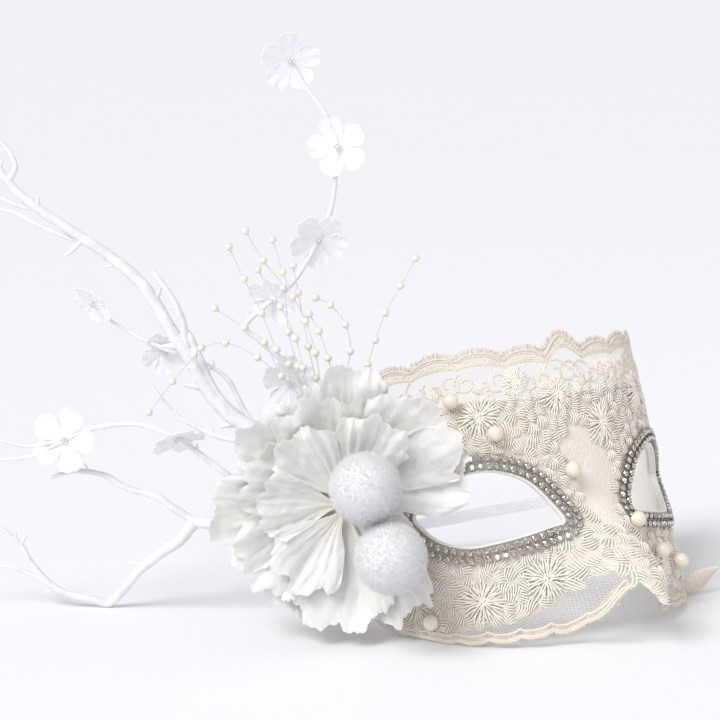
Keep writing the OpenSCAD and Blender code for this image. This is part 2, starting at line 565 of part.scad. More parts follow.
// Place of each stem at the root, from left to right
stem_order = [-1, -3, -2, -1, -1, 1, 1, 3, -3, -3];
function stem_pts(i) = let (s = stem_paths[i - 1])
    concat([root_at(stem_order[i - 1]) + [0, s[0], 0]], spread([for (q = s[1]) [q[0], s[0], q[2]]]));
module spray_stem(i) color(white_c) bouquet()
    sweep(smooth(stem_pts(i), 2), function (j) stem_r, function (j) stem_r, 6);
module spray_pearls(i) color(pearl_c) bouquet()
    for (k = [1:len(stem_pts(i)) - 1]) translate(stem_pts(i)[k]) sphere(d = bead_d);

mask_base();
inner_lining();
lace_cover();
upper_lace();
for (s = SIDES) lower_lace(side(s));
face_pearls();
for (s = SIDES) cups(side(s));
for (s = SIDES) stones(side(s));
for (s = SIDES) strap_tab(side(s));
elastic_strap();
flower_pad();
back_petals();
middle_petals();
front_petals();
upper_pompom();
lower_pompom();
branch_binding();
main_branch();
thin_twig();
short_twig();
arching_branch();
forked_branch();
blossom_stem();
for (i = [1:BLOSSOMS]) blossom(i);
for (i = [1:STEMS]) spray_stem(i);
for (i = [1:STEMS]) spray_pearls(i);
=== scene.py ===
import math
import random

import bpy
import numpy as np
from mathutils import Matrix, Vector, geometry, noise


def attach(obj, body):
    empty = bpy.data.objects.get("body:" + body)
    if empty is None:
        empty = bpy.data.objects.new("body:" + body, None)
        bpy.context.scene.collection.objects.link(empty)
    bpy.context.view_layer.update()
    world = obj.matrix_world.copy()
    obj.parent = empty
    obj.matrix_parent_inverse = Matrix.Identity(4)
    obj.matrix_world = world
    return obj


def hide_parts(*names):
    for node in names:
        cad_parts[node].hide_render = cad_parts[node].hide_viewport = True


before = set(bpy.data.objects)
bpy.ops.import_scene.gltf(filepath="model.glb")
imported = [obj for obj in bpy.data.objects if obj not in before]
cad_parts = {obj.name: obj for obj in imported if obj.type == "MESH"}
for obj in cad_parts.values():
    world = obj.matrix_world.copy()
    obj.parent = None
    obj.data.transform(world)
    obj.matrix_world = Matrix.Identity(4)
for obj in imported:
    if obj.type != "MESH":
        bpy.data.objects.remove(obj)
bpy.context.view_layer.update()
mm = 0.001

# The mask's own surface, in millimetres: s runs along the bow, h up from the eye line
maskShape = {
    "width": 170, "depth": 78, "brow": 45, "cheek": 42, "lean": 21, "bowShare": 0.4,
    "noseOut": 30, "noseRoot": 6, "noseTip": -46, "noseHalf": 24, "noseCrown": 1.35,
    "baseThick": 1.6, "liningThick": 0.8, "laceThick": 0.7, "gap": 0.1, "seatGap": 0.4,
    "upperLace": 21, "lowerLace": 7, "scallops": 13, "scallopHigh": 4,
    "endFrom": 0.6, "endKeep": 0.42, "endMid": 8, "crestLift": 5, "middle": (-64.7, 65.4),
}
topRise = [(0, 0), (0.2, 1), (0.4, 4), (0.6, 3), (1, 0)]
lowRise = [(0, -6), (0.025, -2), (0.055, 9), (0.08, 12), (0.11, 13), (0.16, 9), (0.22, 5), (0.3, 1),
           (0.36, 0), (0.6, 0), (0.71, 2), (0.8, 4), (0.9, 12), (1, 18)]
hemDrop = [(0, 0.1), (0.055, 0.3), (0.08, 1), (0.13, 2.4), (0.18, 2.1), (0.3, 1.1), (0.45, 0.8),
           (0.6, 0.4), (0.71, 0.2), (1, 0.15)]
halfWidth = maskShape["width"] / 2


def ease(q):
    c = np.clip(q, 0, 1)
    return c * c * (3 - 2 * c)


def fromTable(q, table):
    xs, ys = zip(*table)
    return sum(np.interp(q + d, xs, ys) for d in (-0.02, 0, 0.02)) / 3


def bow(x):
    q = x / halfWidth
    return maskShape["depth"] * (maskShape["bowShare"] * q ** 2 + (1 - maskShape["bowShare"]) * q ** 4)


bowX = np.linspace(0, halfWidth, 61)
bowS = np.concatenate([[0], np.cumsum(np.hypot(np.diff(bowX), np.diff(bow(bowX))))])
halfLen = bowS[-1]


def tilted(s, h):
    x = np.sign(s) * np.interp(np.abs(s), bowS, bowX)
    across = np.cos(np.clip(np.abs(x) / maskShape["noseHalf"], 0, 1) * math.pi / 2) ** maskShape["noseCrown"]
    swell = ease((maskShape["noseRoot"] - h) / (maskShape["noseRoot"] - maskShape["noseTip"])) * across
    y = bow(x) - maskShape["noseOut"] * swell
    c, d = math.cos(math.radians(maskShape["lean"])), math.sin(math.radians(maskShape["lean"]))
    return np.stack([x, y * c + h * d, h * c - y * d], -1)


def outward(s, h, step=0.4):
    n = np.cross(tilted(s + step, h) - tilted(s - step, h), tilted(s, h + step) - tilted(s, h - step))
    return n / np.linalg.norm(n, axis=-1, keepdims=True)


def fade(s):
    q = np.clip((np.abs(s) / halfLen - maskShape["endFrom"]) / (1 - maskShape["endFrom"]), 0, 1)
    return maskShape["endKeep"] + (1 - maskShape["endKeep"]) * np.sqrt(1 - q * q)


def topAt(s):
    mid = maskShape["endMid"]
    return mid + (maskShape["brow"] + fromTable(np.abs(s) / halfLen, topRise) - mid) * fade(s)


def lowAt(s):
    mid = maskShape["endMid"]
    return mid + (fromTable(np.abs(s) / halfLen, lowRise) - maskShape["cheek"] - mid) * fade(s)


def scallop(s):
    return maskShape["scallopHigh"] * np.sqrt(np.abs(np.cos(math.pi * maskShape["scallops"] * s
        / (2 * halfLen))))


def upperEdge(s):
    q = np.abs(s)
    return (topAt(s) + (maskShape["upperLace"] - maskShape["scallopHigh"])
            * (0.35 + 0.65 * ease((1 - q / halfLen) * 2.5)) + scallop(s) + maskShape["crestLift"]
            * (1 - ease(q / 12)))


def lowerEdge(s):
    q = np.abs(s) / halfLen
    return (lowAt(s) - maskShape["lowerLace"] * fromTable(q, hemDrop)
            - 0.5 * scallop(1.5 * s) * (1 - ease((q - 0.5) * 5)))


riseAt = halfLen * np.arange(-60, 61) / 60
riseUp = -(tilted(riseAt, lowerEdge(riseAt)) + maskShape["gap"] * outward(riseAt, lowerEdge(riseAt)))[:,
    2].min()


# Points on the mask, off millimetres in front of the base, in the row frame in metres
def onMask(s, h, off=0.0):
    s, h, off = np.broadcast_arrays(np.asarray(s, float), np.asarray(h, float), np.asarray(off, float))
    p = tilted(s, h) + off[..., None] * outward(s, h)
    return (p + [-maskShape["middle"][0], -maskShape["middle"][1], riseUp]) * mm


laceTop = maskShape["gap"] + maskShape["laceThick"]
bouquetPlan = {"turn": -34, "seat": (-100, 24), "side": 5, "lift": 21}
turnCos, turnSin = math.cos(math.radians(bouquetPlan["turn"])), math.sin(math.radians(bouquetPlan["turn"]))


def turned(p):
    p = np.asarray(p, float)
    return np.stack([p[..., 0] * turnCos - p[..., 1] * turnSin, p[..., 0] * turnSin + p[..., 1] * turnCos,
                     p[..., 2]], -1)


heart = onMask(*bouquetPlan["seat"], laceTop + maskShape["seatGap"]) - turned([bouquetPlan["side"],
    bouquetPlan["lift"], 0]) * mm


# Points of the bouquet's frame (X across, Y to the back, Z up from the flower's heart) in the row frame
def fromHeart(p):
    return heart + turned(p) * mm


print("surface ready, half length", round(float(halfLen), 1), "mm")

cameraPlan = {"away": 0.75, "azimuth": -34, "elevation": 10.5, "aim": (-0.0519, -0.0654, 0.125), "lens": 100}
camera = bpy.data.objects.new("Camera", bpy.data.cameras.new("Camera"))
bpy.context.scene.collection.objects.link(camera)
a, e = math.radians(cameraPlan["azimuth"]), math.radians(cameraPlan["elevation"])
back = Vector((math.sin(a) * math.cos(e), -math.cos(a) * math.cos(e), math.sin(e)))
camera.location = Vector(cameraPlan["aim"]) + back * cameraPlan["away"]
camera.rotation_euler = back.to_track_quat("Z", "Y").to_euler()
camera.data.lens = cameraPlan["lens"]
camera.data.sensor_width = 36
camera.data.clip_start = 0.01
bpy.context.scene.camera = camera


# Small tools for meshes
def linked(name, data):
    made = bpy.data.objects.new(name, data)
    bpy.context.scene.collection.objects.link(made)
    return made


def addPiece(name, points, faces, finish=None, smooth=True, flat=None):
    mesh = bpy.data.meshes.new(name)
    mesh.from_pydata(np.asarray(points, float).tolist(), [], [list(f) for f in faces])
    if flat is not None:  # the pattern's own plane, one unit to 10 mm
        layer = mesh.uv_layers.new(name="pattern")
        corner = np.zeros(len(mesh.loops), int)
        mesh.loops.foreach_get("vertex_index", corner)
        layer.data.foreach_set("uv", (np.asarray(flat, float)[corner] * 0.1).astype(np.float32).ravel())
    mesh.validate()
    mesh.shade_smooth() if smooth else mesh.shade_flat()
    if smooth:
        mesh.set_sharp_from_angle(angle=math.radians(50))
    if finish:
        mesh.materials.append(finish)
    return linked(name, mesh)


def joined(name, pieces):
    with bpy.context.temp_override(active_object=pieces[0], selected_editable_objects=pieces):
        bpy.ops.object.join()
    pieces[0].name = pieces[0].data.name = name
    return pieces[0]


def unit(v):
    return v / np.linalg.norm(v, axis=-1, keepdims=True)


# Distance along a line of points, from 0 at its start
def runOf(line):
    return np.concatenate([[0], np.cumsum(np.linalg.norm(np.diff(line, axis=0), axis=1))])


# Points of a circle, as two columns
def circleOf(radius, count, shift=0.0):
    a = 2 * math.pi * (np.arange(count) + shift) / count
    return np.stack([radius * np.cos(a), radius * np.sin(a)], 1)


# Faces of a stack of rings of n points; capped closes each end round a last point of its own
def ringFaces(rows, n, capped=False):
    faces = [(i * n + k, i * n + (k + 1) % n, (i + 1) * n + (k + 1) % n, (i + 1) * n + k)
             for i in range(rows - 1) for k in range(n)]
    if capped:
        last = (rows - 1) * n
        faces += [(rows * n, (k + 1) % n, k) for k in range(n)]
        faces += [(rows * n + 1, last + k, last + (k + 1) % n) for k in range(n)]
    return faces


# Closed sheet between two grids of points; wrap closes the columns into a ring
def closedGrid(front, back, wrap=False):
    rows, cols = front.shape[:2]
    n = rows * cols
    at = np.arange(n).reshape(rows, cols)
    if wrap:
        at = np.concatenate([at, at[:, :1]], 1)
    a, b, c, d = at[:-1, :-1].ravel(), at[:-1, 1:].ravel(), at[1:, 1:].ravel(), at[1:, :-1].ravel()
    faces = [*zip(a, b, c, d), *zip(n + a, n + d, n + c, n + b)]
    for line, turn in ((at[0], 1), (at[-1], -1)):
        faces += [f[::turn] for f in zip(line[:-1], n + line[:-1], n + line[1:], line[1:])]
    if not wrap:
        faces += [*zip(at[1:, 0], n + at[1:, 0], n + at[:-1, 0], at[:-1, 0])]
        faces += [*zip(at[:-1, -1], n + at[:-1, -1], n + at[1:, -1], at[1:, -1])]
    return np.concatenate([front.reshape(-1, 3), back.reshape(-1, 3)]), faces


def noiseAt(x, y, z):
    return noise.noise(Vector((x, y, z)))


def smoothLine(points, steps, closed=False):
    p = np.asarray(points, float)
    ends = (p[-1:], p[:2]) if closed else (2 * p[:1] - p[1:2], 2 * p[-1:] - p[-2:-1])
    p = np.concatenate([ends[0], p, ends[1]])
    t = np.arange(steps)[:, None] / steps
    out = []
    for a, b, c, d in zip(p, p[1:], p[2:], p[3:]):
        out.append(0.5 * (2 * b + (c - a) * t + (2 * a - 5 * b + 4 * c - d) * t ** 2
                          + (3 * b - a - 3 * c + d) * t ** 3))
    out = np.concatenate(out)
    return out if closed else np.concatenate([out, p[-2:-1]])


def inside(points, ring):
    x, y = np.asarray(points, float).T
    ring = np.asarray(ring, float)
    hit = np.zeros(len(x), bool)
    for (x0, y0), (x1, y1) in zip(ring, np.roll(ring, -1, 0)):
        if y0 != y1:
            hit ^= ((y0 > y) != (y1 > y)) & (x < (x1 - x0) * (y - y0) / (y1 - y0) + x0)
    return hit


# Geometry Nodes trees
def nodeTree(name, sockets):
    tree = bpy.data.node_groups.new(name, "GeometryNodeTree")
    tree.interface.new_socket("Geometry", in_out="INPUT", socket_type="NodeSocketGeometry")
    for label, kind, value in sockets:
        made = tree.interface.new_socket(label, in_out="INPUT", socket_type="NodeSocket" + kind)
        if value is not None:
            made.default_value = value
    tree.interface.new_socket("Geometry", in_out="OUTPUT", socket_type="NodeSocketGeometry")
    return tree, tree.nodes.new("NodeGroupInput").outputs, tree.nodes.new("NodeGroupOutput")


# A node with its settings; links gives each socket a value, a socket or a node, whose first output it takes
def addNode(tree, kind, links=None, **settings):
    node = tree.nodes.new(kind)
    for key, value in settings.items():
        setattr(node, key, value)
    for socket, source in (links or {}).items():
        if isinstance(source, bpy.types.Node):
            source = source.outputs[0]
        if isinstance(source, bpy.types.NodeSocket):
            tree.links.new(source, node.inputs[socket])
        else:
            node.inputs[socket].default_value = source
    return node


def mathNode(tree, operation, one, two):
    return addNode(tree, "ShaderNodeMath", {0: one, 1: two}, operation=operation)


def endTree(tree, shape, given, out, smooth=True):
    soft = addNode(tree, "GeometryNodeSetShadeSmooth", {"Geometry": shape, "Shade Smooth": smooth})
    real = addNode(tree, "GeometryNodeRealizeInstances", {"Geometry": soft})
    done = addNode(tree, "GeometryNodeSetMaterial", {"Geometry": real, "Material": given["Finish"]})
    tree.links.new(done.outputs[0], out.inputs[0])
    return tree


# Tubes along the edge paths of a mesh, "girth" their thickness at each point
def tubeNode(tree, given, radius):
    line = addNode(tree, "GeometryNodeMeshToCurve", {"Mesh": given["Geometry"]})
    girth = addNode(tree, "GeometryNodeInputNamedAttribute", {"Name": "girth"}, data_type="FLOAT")
    sized = addNode(tree, "GeometryNodeSetCurveRadius", {"Curve": line, "Radius": girth.outputs["Attribute"]})
    ring = addNode(tree, "GeometryNodeCurvePrimitiveCircle",
                   {"Resolution": given["Sides"], "Radius": given[radius]})
    tube = addNode(tree, "GeometryNodeCurveToMesh",
                   {"Curve": sized, "Profile Curve": ring, "Fill Caps": True})
    if "Scale" in tube.inputs:
        tree.links.new(girth.outputs["Attribute"], tube.inputs["Scale"])
    return tube


# Lines become threads
def threadTree():
    tree, given, out = nodeTree("spin threads", [("Thread", "Float", 0.0003), ("Sides", "Int", 4),
        ("Finish", "Material", None)])
    tube = tubeNode(tree, given, "Thread")
    return endTree(tree, tube.outputs[0], given, out)


# Copies of one piece at points, each turned by "turn" and sized by "size"
def copyTree():
    tree, given, out = nodeTree("set copies", [("Piece", "Object", None), ("Finish", "Material", None),
        ("Smooth", "Bool", True)])
    info = addNode(tree, "GeometryNodeObjectInfo", {"Object": given["Piece"]})
    turn = addNode(tree, "GeometryNodeInputNamedAttribute", {"Name": "turn"}, data_type="FLOAT_VECTOR")
    size = addNode(tree, "GeometryNodeInputNamedAttribute", {"Name": "size"}, data_type="FLOAT")
    euler = addNode(tree, "FunctionNodeEulerToRotation", {"Euler": turn.outputs["Attribute"]})
    copies = addNode(tree, "GeometryNodeInstanceOnPoints", {
        "Points": given["Geometry"], "Instance": info.outputs["Geometry"],
        "Rotation": euler, "Scale": size.outputs["Attribute"]})
    return endTree(tree, copies.outputs[0], given, out, given["Smooth"])


# A ball of yarn ends: fine tapered fibres standing out of a core
def fluffTree():
    tree, given, out = nodeTree("grow fluff", [("Core", "Float", 0.0125), ("Density", "Float", 8e6),
        ("Length", "Float", 0.002), ("Fibre", "Float", 0.0001), ("Ruffle", "Float", 0.5), ("Seed", "Int", 3),
        ("Finish", "Material", None)])
    core = addNode(tree, "GeometryNodeMeshIcoSphere", {"Radius": given["Core"], "Subdivisions": 4})
    spots = addNode(tree, "GeometryNodeDistributePointsOnFaces", {
        "Mesh": core.outputs["Mesh"], "Density": given["Density"], "Seed": given["Seed"]})
    cone = addNode(tree, "GeometryNodeMeshCone", {"Vertices": 3, "Side Segments": 2, "Radius Top": 0.0,
        "Radius Bottom": given["Fibre"], "Depth": given["Length"]}, fill_type="NONE")
    minus = mathNode(tree, "MULTIPLY", given["Ruffle"], -1.0)
    low = addNode(tree, "ShaderNodeCombineXYZ", {0: minus, 1: minus, 2: minus})
    high = addNode(tree, "ShaderNodeCombineXYZ", {0: given["Ruffle"], 1: given["Ruffle"], 2: given["Ruffle"]})
    lean = addNode(tree, "FunctionNodeRandomValue", {0: low, 1: high, "Seed": given["Seed"]},
                   data_type="FLOAT_VECTOR")
    leanTurn = addNode(tree, "FunctionNodeEulerToRotation", {"Euler": lean})
    turn = addNode(tree, "FunctionNodeRotateRotation",
                   {"Rotation": spots.outputs["Rotation"], "Rotate By": leanTurn}, rotation_space="LOCAL")
    size = addNode(tree, "FunctionNodeRandomValue", {2: 0.6, 3: 1.15, "Seed": given["Seed"]},
                   data_type="FLOAT")
    fibres = addNode(tree, "GeometryNodeInstanceOnPoints",
                     {"Points": spots.outputs["Points"], "Instance": cone.outputs["Mesh"], "Rotation": turn,
                      "Scale": size.outputs[1]})
    both = addNode(tree, "GeometryNodeJoinGeometry")
    tree.links.new(core.outputs["Mesh"], both.inputs[0])
    tree.links.new(fibres.outputs[0], both.inputs[0])
    return endTree(tree, both.outputs[0], given, out)


# A bark-covered twig: a tube of the line's own girth, lumpy and ridged along its length
def barkTree():
    tree, given, out = nodeTree("grow bark", [("Girth", "Float", 1.0), ("Lumps", "Float", 0.0003),
        ("Ridges", "Float", 0.0001), ("Sides", "Int", 14), ("Finish", "Material", None)])
    tube = tubeNode(tree, given, "Girth")
    place = addNode(tree, "GeometryNodeInputPosition")
    lumps = addNode(tree, "ShaderNodeTexNoise", {"Vector": place, "Scale": 110.0, "Detail": 2.0})
    ridges = addNode(tree, "ShaderNodeTexNoise", {"Vector": place, "Scale": 520.0, "Detail": 3.0})
    parts = []
    for source, amount in ((lumps, "Lumps"), (ridges, "Ridges")):
        zero = mathNode(tree, "SUBTRACT", source, 0.5)
        parts.append(mathNode(tree, "MULTIPLY", zero, given[amount]))
    total = mathNode(tree, "ADD", parts[0].outputs[0], parts[1].outputs[0])
    normal = addNode(tree, "GeometryNodeInputNormal")
    push = addNode(tree, "ShaderNodeVectorMath", {0: normal, "Scale": total}, operation="SCALE")
    moved = addNode(tree, "GeometryNodeSetPosition", {"Geometry": tube, "Offset": push})
    return endTree(tree, moved.outputs[0], given, out)


trees = {"threads": threadTree(), "copies": copyTree(), "fluff": fluffTree(), "bark": barkTree()}


# Runs a tree on a host mesh and keeps the result as a plain mesh
def grown(name, host, tree, settings):
    step = host.modifiers.new("grow", "NODES")
    step.node_group = trees[tree]
    ids = {s.name: s.identifier for s in trees[tree].interface.items_tree if s.in_out == "INPUT"}
    for label, value in settings.items():
        step[ids[label]] = value
    host.update_tag()
    seen = host.evaluated_get(bpy.context.evaluated_depsgraph_get())
    mesh = bpy.data.meshes.new_from_object(seen)
    mesh.name = name
    mesh.materials.clear()
    mesh.materials.append(settings["Finish"])
    mesh.polygons.foreach_set("material_index", np.zeros(len(mesh.polygons), np.int32))
    bpy.data.objects.remove(host)
    return linked(name, mesh)


def lineHost(name, paths, girths=None):
    mesh = bpy.data.meshes.new(name)
    points, edges = [], []
    for p in paths:
        edges += [(len(points) + i, len(points) + i + 1) for i in range(len(p) - 1)]
        points += np.asarray(p, float).tolist()
    mesh.from_pydata(points, edges, [])
    values = np.ones(len(points)) if girths is None else np.concatenate(girths)
    mesh.attributes.new("girth", "FLOAT", "POINT").data.foreach_set("value", values.astype(np.float32))
    return linked(name, mesh)


def threads(name, paths, thick, finish, sides=4, girths=None):
    return grown(name, lineHost(name, paths, girths), "threads",
                 {"Thread": thick * mm, "Sides": sides, "Finish": finish})


# Copies of a piece at places, each a point with a 3x3 turn and a size
def copies(name, master, places, finish, smooth=True):
    mesh = bpy.data.meshes.new(name)
    mesh.from_pydata([list(p) for p, _, _ in places], [], [])
    turn = mesh.attributes.new("turn", "FLOAT_VECTOR", "POINT")
    angles = [Matrix(np.asarray(m).tolist()).to_euler() for _, m, _ in places]
    turn.data.foreach_set("vector", np.array(angles, np.float32).ravel())
    size = mesh.attributes.new("size", "FLOAT", "POINT")
    size.data.foreach_set("value", np.array([k for _, _, k in places], np.float32))
    return grown(name, linked(name, mesh), "copies", {"Piece": master, "Finish": finish, "Smooth": smooth})


def upright(normal, along=(0, 0, 1)):
    z = np.asarray(normal, float) / np.linalg.norm(normal)
    x = np.cross(along, z)
    x = x / max(np.linalg.norm(x), 1e-9)
    return np.stack([x, np.cross(z, x), z], 1)


def maskTurn(s, h, spin=0.0):
    n, t = outward(s, h), onMask(s + 0.4, h) - onMask(s - 0.4, h)
    t = t / np.linalg.norm(t)
    b = np.cross(n, t)
    c, d = math.cos(spin), math.sin(spin)
    return np.stack([t * c + b * d, b * c - t * d, n], 1)


# Shader groups: each gives a height or a tone that changes over the surface
def shaderGroup(name, ins, outs):
    group = bpy.data.node_groups.new(name, "ShaderNodeTree")
    for label, kind, value in ins:
        made = group.interface.new_socket(label, in_out="INPUT", socket_type="NodeSocket" + kind)
        if value is not None:
            made.default_value = value
    for label, kind in outs:
        group.interface.new_socket(label, in_out="OUTPUT", socket_type="NodeSocket" + kind)
    return group, group.nodes.new("NodeGroupInput").outputs, group.nodes.new("NodeGroupOutput")


# Uneven tone: two colours mixed by slow and fast noise, for dye, dust and handling, and on the stones for
# painted reflection
def toneAndReflectionGroup():
    group, given, out = shaderGroup("uneven tone and painted reflection", [
        ("Vector", "Vector", None), ("Clean", "Color", (1, 1, 1, 1)), ("WornAndReflection", "Color", (0.8, 0.75, 0.7, 1)),
        ("Scale", "Float", 40.0), ("Amount", "Float", 0.5)], [("Color", "Color"), ("Mask", "Float")])
    slow = addNode(group, "ShaderNodeTexNoise", {"Vector": given["Vector"], "Scale": given["Scale"],
        "Detail": 5.0, "Roughness": 0.6})
    ramp = addNode(group, "ShaderNodeMapRange", {"Value": slow, "From Min": 0.4, "From Max": 0.7})
    part = mathNode(group, "MULTIPLY", ramp, given["Amount"])
    mix = addNode(group, "ShaderNodeMix", {"Factor": part}, data_type="RGBA")
    group.links.new(given["Clean"], mix.inputs[6])
    group.links.new(given["WornAndReflection"], mix.inputs[7])
    group.links.new(mix.outputs[2], out.inputs["Color"])
    group.links.new(part.outputs[0], out.inputs["Mask"])
    return group


# Thread grain: fine crossed ribs with a little noise
def weaveGroup():
    group, given, out = shaderGroup("weave", [("Vector", "Vector", None), ("Pitch", "Float", 100.0),
        ("Lumps", "Float", 0.4)], [("Height", "Float")])
    ribs = []
    for way in "XY":
        ribs.append(addNode(group, "ShaderNodeTexWave", {"Vector": given["Vector"], "Scale": given["Pitch"],
            "Distortion": 1.2, "Detail": 1.0}, bands_direction=way))
    top = mathNode(group, "MAXIMUM", *[rib.outputs[1] for rib in ribs])
    fluff = addNode(group, "ShaderNodeTexNoise", {"Vector": given["Vector"], "Scale": given["Pitch"],
        "Detail": 3.0})
    part = mathNode(group, "MULTIPLY", fluff, given["Lumps"])
    total = mathNode(group, "ADD", top, part)
    group.links.new(total.outputs[0], out.inputs["Height"])
    return group


# Loose grain: fibres, leather pebbles and paint specks by scale and stretch
def grainGroup():
    group, given, out = shaderGroup("grain", [("Vector", "Vector", None), ("Fine", "Float", 900.0),
        ("Coarse", "Float", 150.0), ("Pebbles", "Float", 0.0)], [("Height", "Float")])
    fine = addNode(group, "ShaderNodeTexNoise", {"Vector": given["Vector"], "Scale": given["Fine"],
        "Detail": 4.0})
    coarse = addNode(group, "ShaderNodeTexNoise", {"Vector": given["Vector"], "Scale": given["Coarse"],
        "Detail": 3.0})
    cells = addNode(group, "ShaderNodeTexVoronoi", {"Vector": given["Vector"], "Scale": given["Fine"]},
                    feature="SMOOTH_F1")
    pebble = mathNode(group, "MULTIPLY", cells, given["Pebbles"])
    both = mathNode(group, "ADD", fine, coarse)
    total = mathNode(group, "SUBTRACT", both, pebble)
    group.links.new(total.outputs[0], out.inputs["Height"])
    return group


groups = {"toneAndReflection": toneAndReflectionGroup(), "weave": weaveGroup(), "grain": grainGroup()}


def rgba(color):
    return (*[((c + 0.055) / 1.055) ** 2.4 if c > 0.04045 else c / 12.92 for c in (v / 255 for v in color)],
            1)


# One finish: a tone group for the colour, a relief group for the bump, constants on the shader
def finish(name, clean, wornAndReflection, relief, tone=(40.0, 0.5), bump=(0.0003, 0.5), coords="Object",
           stretch=(1, 1, 1), plain=None):
    made = bpy.data.materials.new(name)
    made.use_nodes = True
    tree = made.node_tree
    shader = tree.nodes["Principled BSDF"]
    for socket, value in {"Roughness": 0.75, **(plain or {})}.items():
        shader.inputs[socket].default_value = value
    place = addNode(tree, "ShaderNodeTexCoord")
    fit = addNode(tree, "ShaderNodeMapping", {"Vector": place.outputs[coords], "Scale": stretch})
    tones = addNode(tree, "ShaderNodeGroup", node_tree=groups["toneAndReflection"])
    height = addNode(tree, "ShaderNodeGroup", node_tree=groups[relief[0]])
    tree.links.new(place.outputs["Object"], tones.inputs["Vector"])
    tree.links.new(fit.outputs[0], height.inputs["Vector"])
    for label, value in {"Clean": rgba(clean), "WornAndReflection": rgba(wornAndReflection), "Scale": tone[0],
                         "Amount": tone[1]}.items():
        tones.inputs[label].default_value = value
    for label, value in relief[1].items():
        height.inputs[label].default_value = value
    raised = addNode(tree, "ShaderNodeBump", {"Height": height.outputs["Height"], "Distance": bump[0],
        "Strength": bump[1]})
    tree.links.new(tones.outputs["Color"], shader.inputs["Base Color"])
    tree.links.new(raised.outputs[0], shader.inputs["Normal"])
    return made


def grainOf(fine, coarse, pebbles=0.0):
    return "grain", {"Fine": fine, "Coarse": coarse, "Pebbles": pebbles}


cloth = {"Roughness": 0.85, "Sheen Weight": 0.25, "Sheen Roughness": 0.5}
leatherFinish = finish("ivory leather", (242, 235, 225), (232, 222, 209), grainOf(1300.0, 260.0, 1.2),
                       bump=(0.0003, 0.8), plain={"Roughness": 0.6})
feltFinish = finish("white felt", (244, 242, 236), (226, 222, 214), grainOf(1800.0, 420.0),
                    bump=(0.0001, 0.5), plain={"Roughness": 0.95, "Sheen Weight": 0.2})
# The lace ground is darker than the thread, partly its own tone and partly painted shade that falls between
# the raised threads
tulleFinish = finish("lace ground", (238, 230, 218), (229, 218, 203), ("weave", {"Pitch": 4.2, "Lumps": 0.5}),
                     tone=(60.0, 0.35), bump=(0.0004, 0.7), coords="UV", plain=cloth)
threadFinish = finish("lace thread", (246, 240, 230), (238, 228, 215), grainOf(2600.0, 700.0),
                      tone=(120.0, 0.4), bump=(0.00008, 0.4), plain={**cloth, "Roughness": 0.62})
edgeFinish = finish("edge thread", (236, 227, 213), (218, 205, 187), grainOf(2600.0, 700.0),
                    tone=(120.0, 0.6), bump=(0.00008, 0.4), plain=cloth)
netFinish = finish("net thread", (244, 240, 232), (230, 222, 212), grainOf(3000.0, 900.0),
                   tone=(90.0, 0.5), bump=(0.0001, 0.4), plain=cloth)
metalFinish = finish("cup metal", (196, 188, 178), (112, 102, 92), grainOf(2500.0, 600.0),
                     tone=(900.0, 0.7), bump=(0.0001, 0.3), plain={"Metallic": 1.0, "Roughness": 0.28})
# The stones' dark second colour, mixed in by fine noise, is painted reflection: dark flecks that stand in for
# dark surroundings mirrored in the facets
stoneFinish = finish("foiled stone", (252, 250, 246), (64, 58, 54), grainOf(900.0, 400.0),
                     tone=(1600.0, 1.0), bump=(0.0001, 0.05),
                     plain={"Metallic": 0.85, "Roughness": 0.06, "Coat Weight": 1.0, "Coat Roughness": 0.03})
pearlFinish = finish("ivory pearl", (240, 230, 212), (228, 214, 190), grainOf(500.0, 120.0),
                     tone=(160.0, 0.5), bump=(0.0001, 0.1), plain={"Roughness": 0.22, "Coat Weight": 0.7,
                         "Coat Roughness": 0.08, "Specular IOR Level": 0.6})
beadFinish = finish("white pearl", (236, 231, 220), (222, 216, 203), grainOf(500.0, 120.0),
                    tone=(260.0, 0.5), bump=(0.0001, 0.1),
                    plain={"Roughness": 0.2, "Coat Weight": 0.7, "Coat Roughness": 0.08})
silkFinish = finish("petal silk", (242, 241, 237), (237, 235, 226), grainOf(60.0, 14.0), tone=(45.0, 0.5),
                    bump=(0.0006, 0.45), coords="UV", stretch=(1, 0.12, 1),
                    plain={**cloth, "Subsurface Weight": 0.3, "Subsurface Radius": (1, 1, 0.85),
                           "Subsurface Scale": 0.002})
silkTree = silkFinish.node_tree
silkUV = addNode(silkTree, "ShaderNodeTexCoord")
silkAlong = addNode(silkTree, "ShaderNodeSeparateXYZ", {0: silkUV.outputs["UV"]})
silkHeart = addNode(silkTree, "ShaderNodeMapRange", {"Value": silkAlong.outputs[1], "From Min": 1.9,
    "From Max": 0.3, "To Max": 0.55})
silkMix = addNode(silkTree, "ShaderNodeMix", {"Factor": silkHeart}, data_type="RGBA")
silkTone = next(n for n in silkTree.nodes if n.type == "GROUP" and n.node_tree == groups["toneAndReflection"])
silkTree.links.new(silkTone.outputs["Color"], silkMix.inputs[6])
silkMix.inputs[7].default_value = rgba((236, 231, 205))
silkTree.links.new(silkMix.outputs[2], silkTree.nodes["Principled BSDF"].inputs["Base Color"])
fluffFinish = finish("pompom yarn", (254, 254, 255), (249, 249, 252), grainOf(1400.0, 400.0),
                     tone=(300.0, 0.5), bump=(0.00005, 0.3),
                     plain={"Roughness": 0.95, "Subsurface Weight": 0.4, "Subsurface Radius": (1, 1, 1),
                            "Subsurface Scale": 0.003})
barkFinish = finish("painted bark", (241, 241, 244), (216, 215, 221), grainOf(900.0, 220.0),
                    tone=(150.0, 0.8), bump=(0.0002, 0.7), plain={"Roughness": 0.8})
tapeFinish = finish("binding tape", (238, 238, 240), (216, 215, 220), grainOf(1400.0, 300.0),
                    bump=(0.0003, 0.6), plain={"Roughness": 0.85})
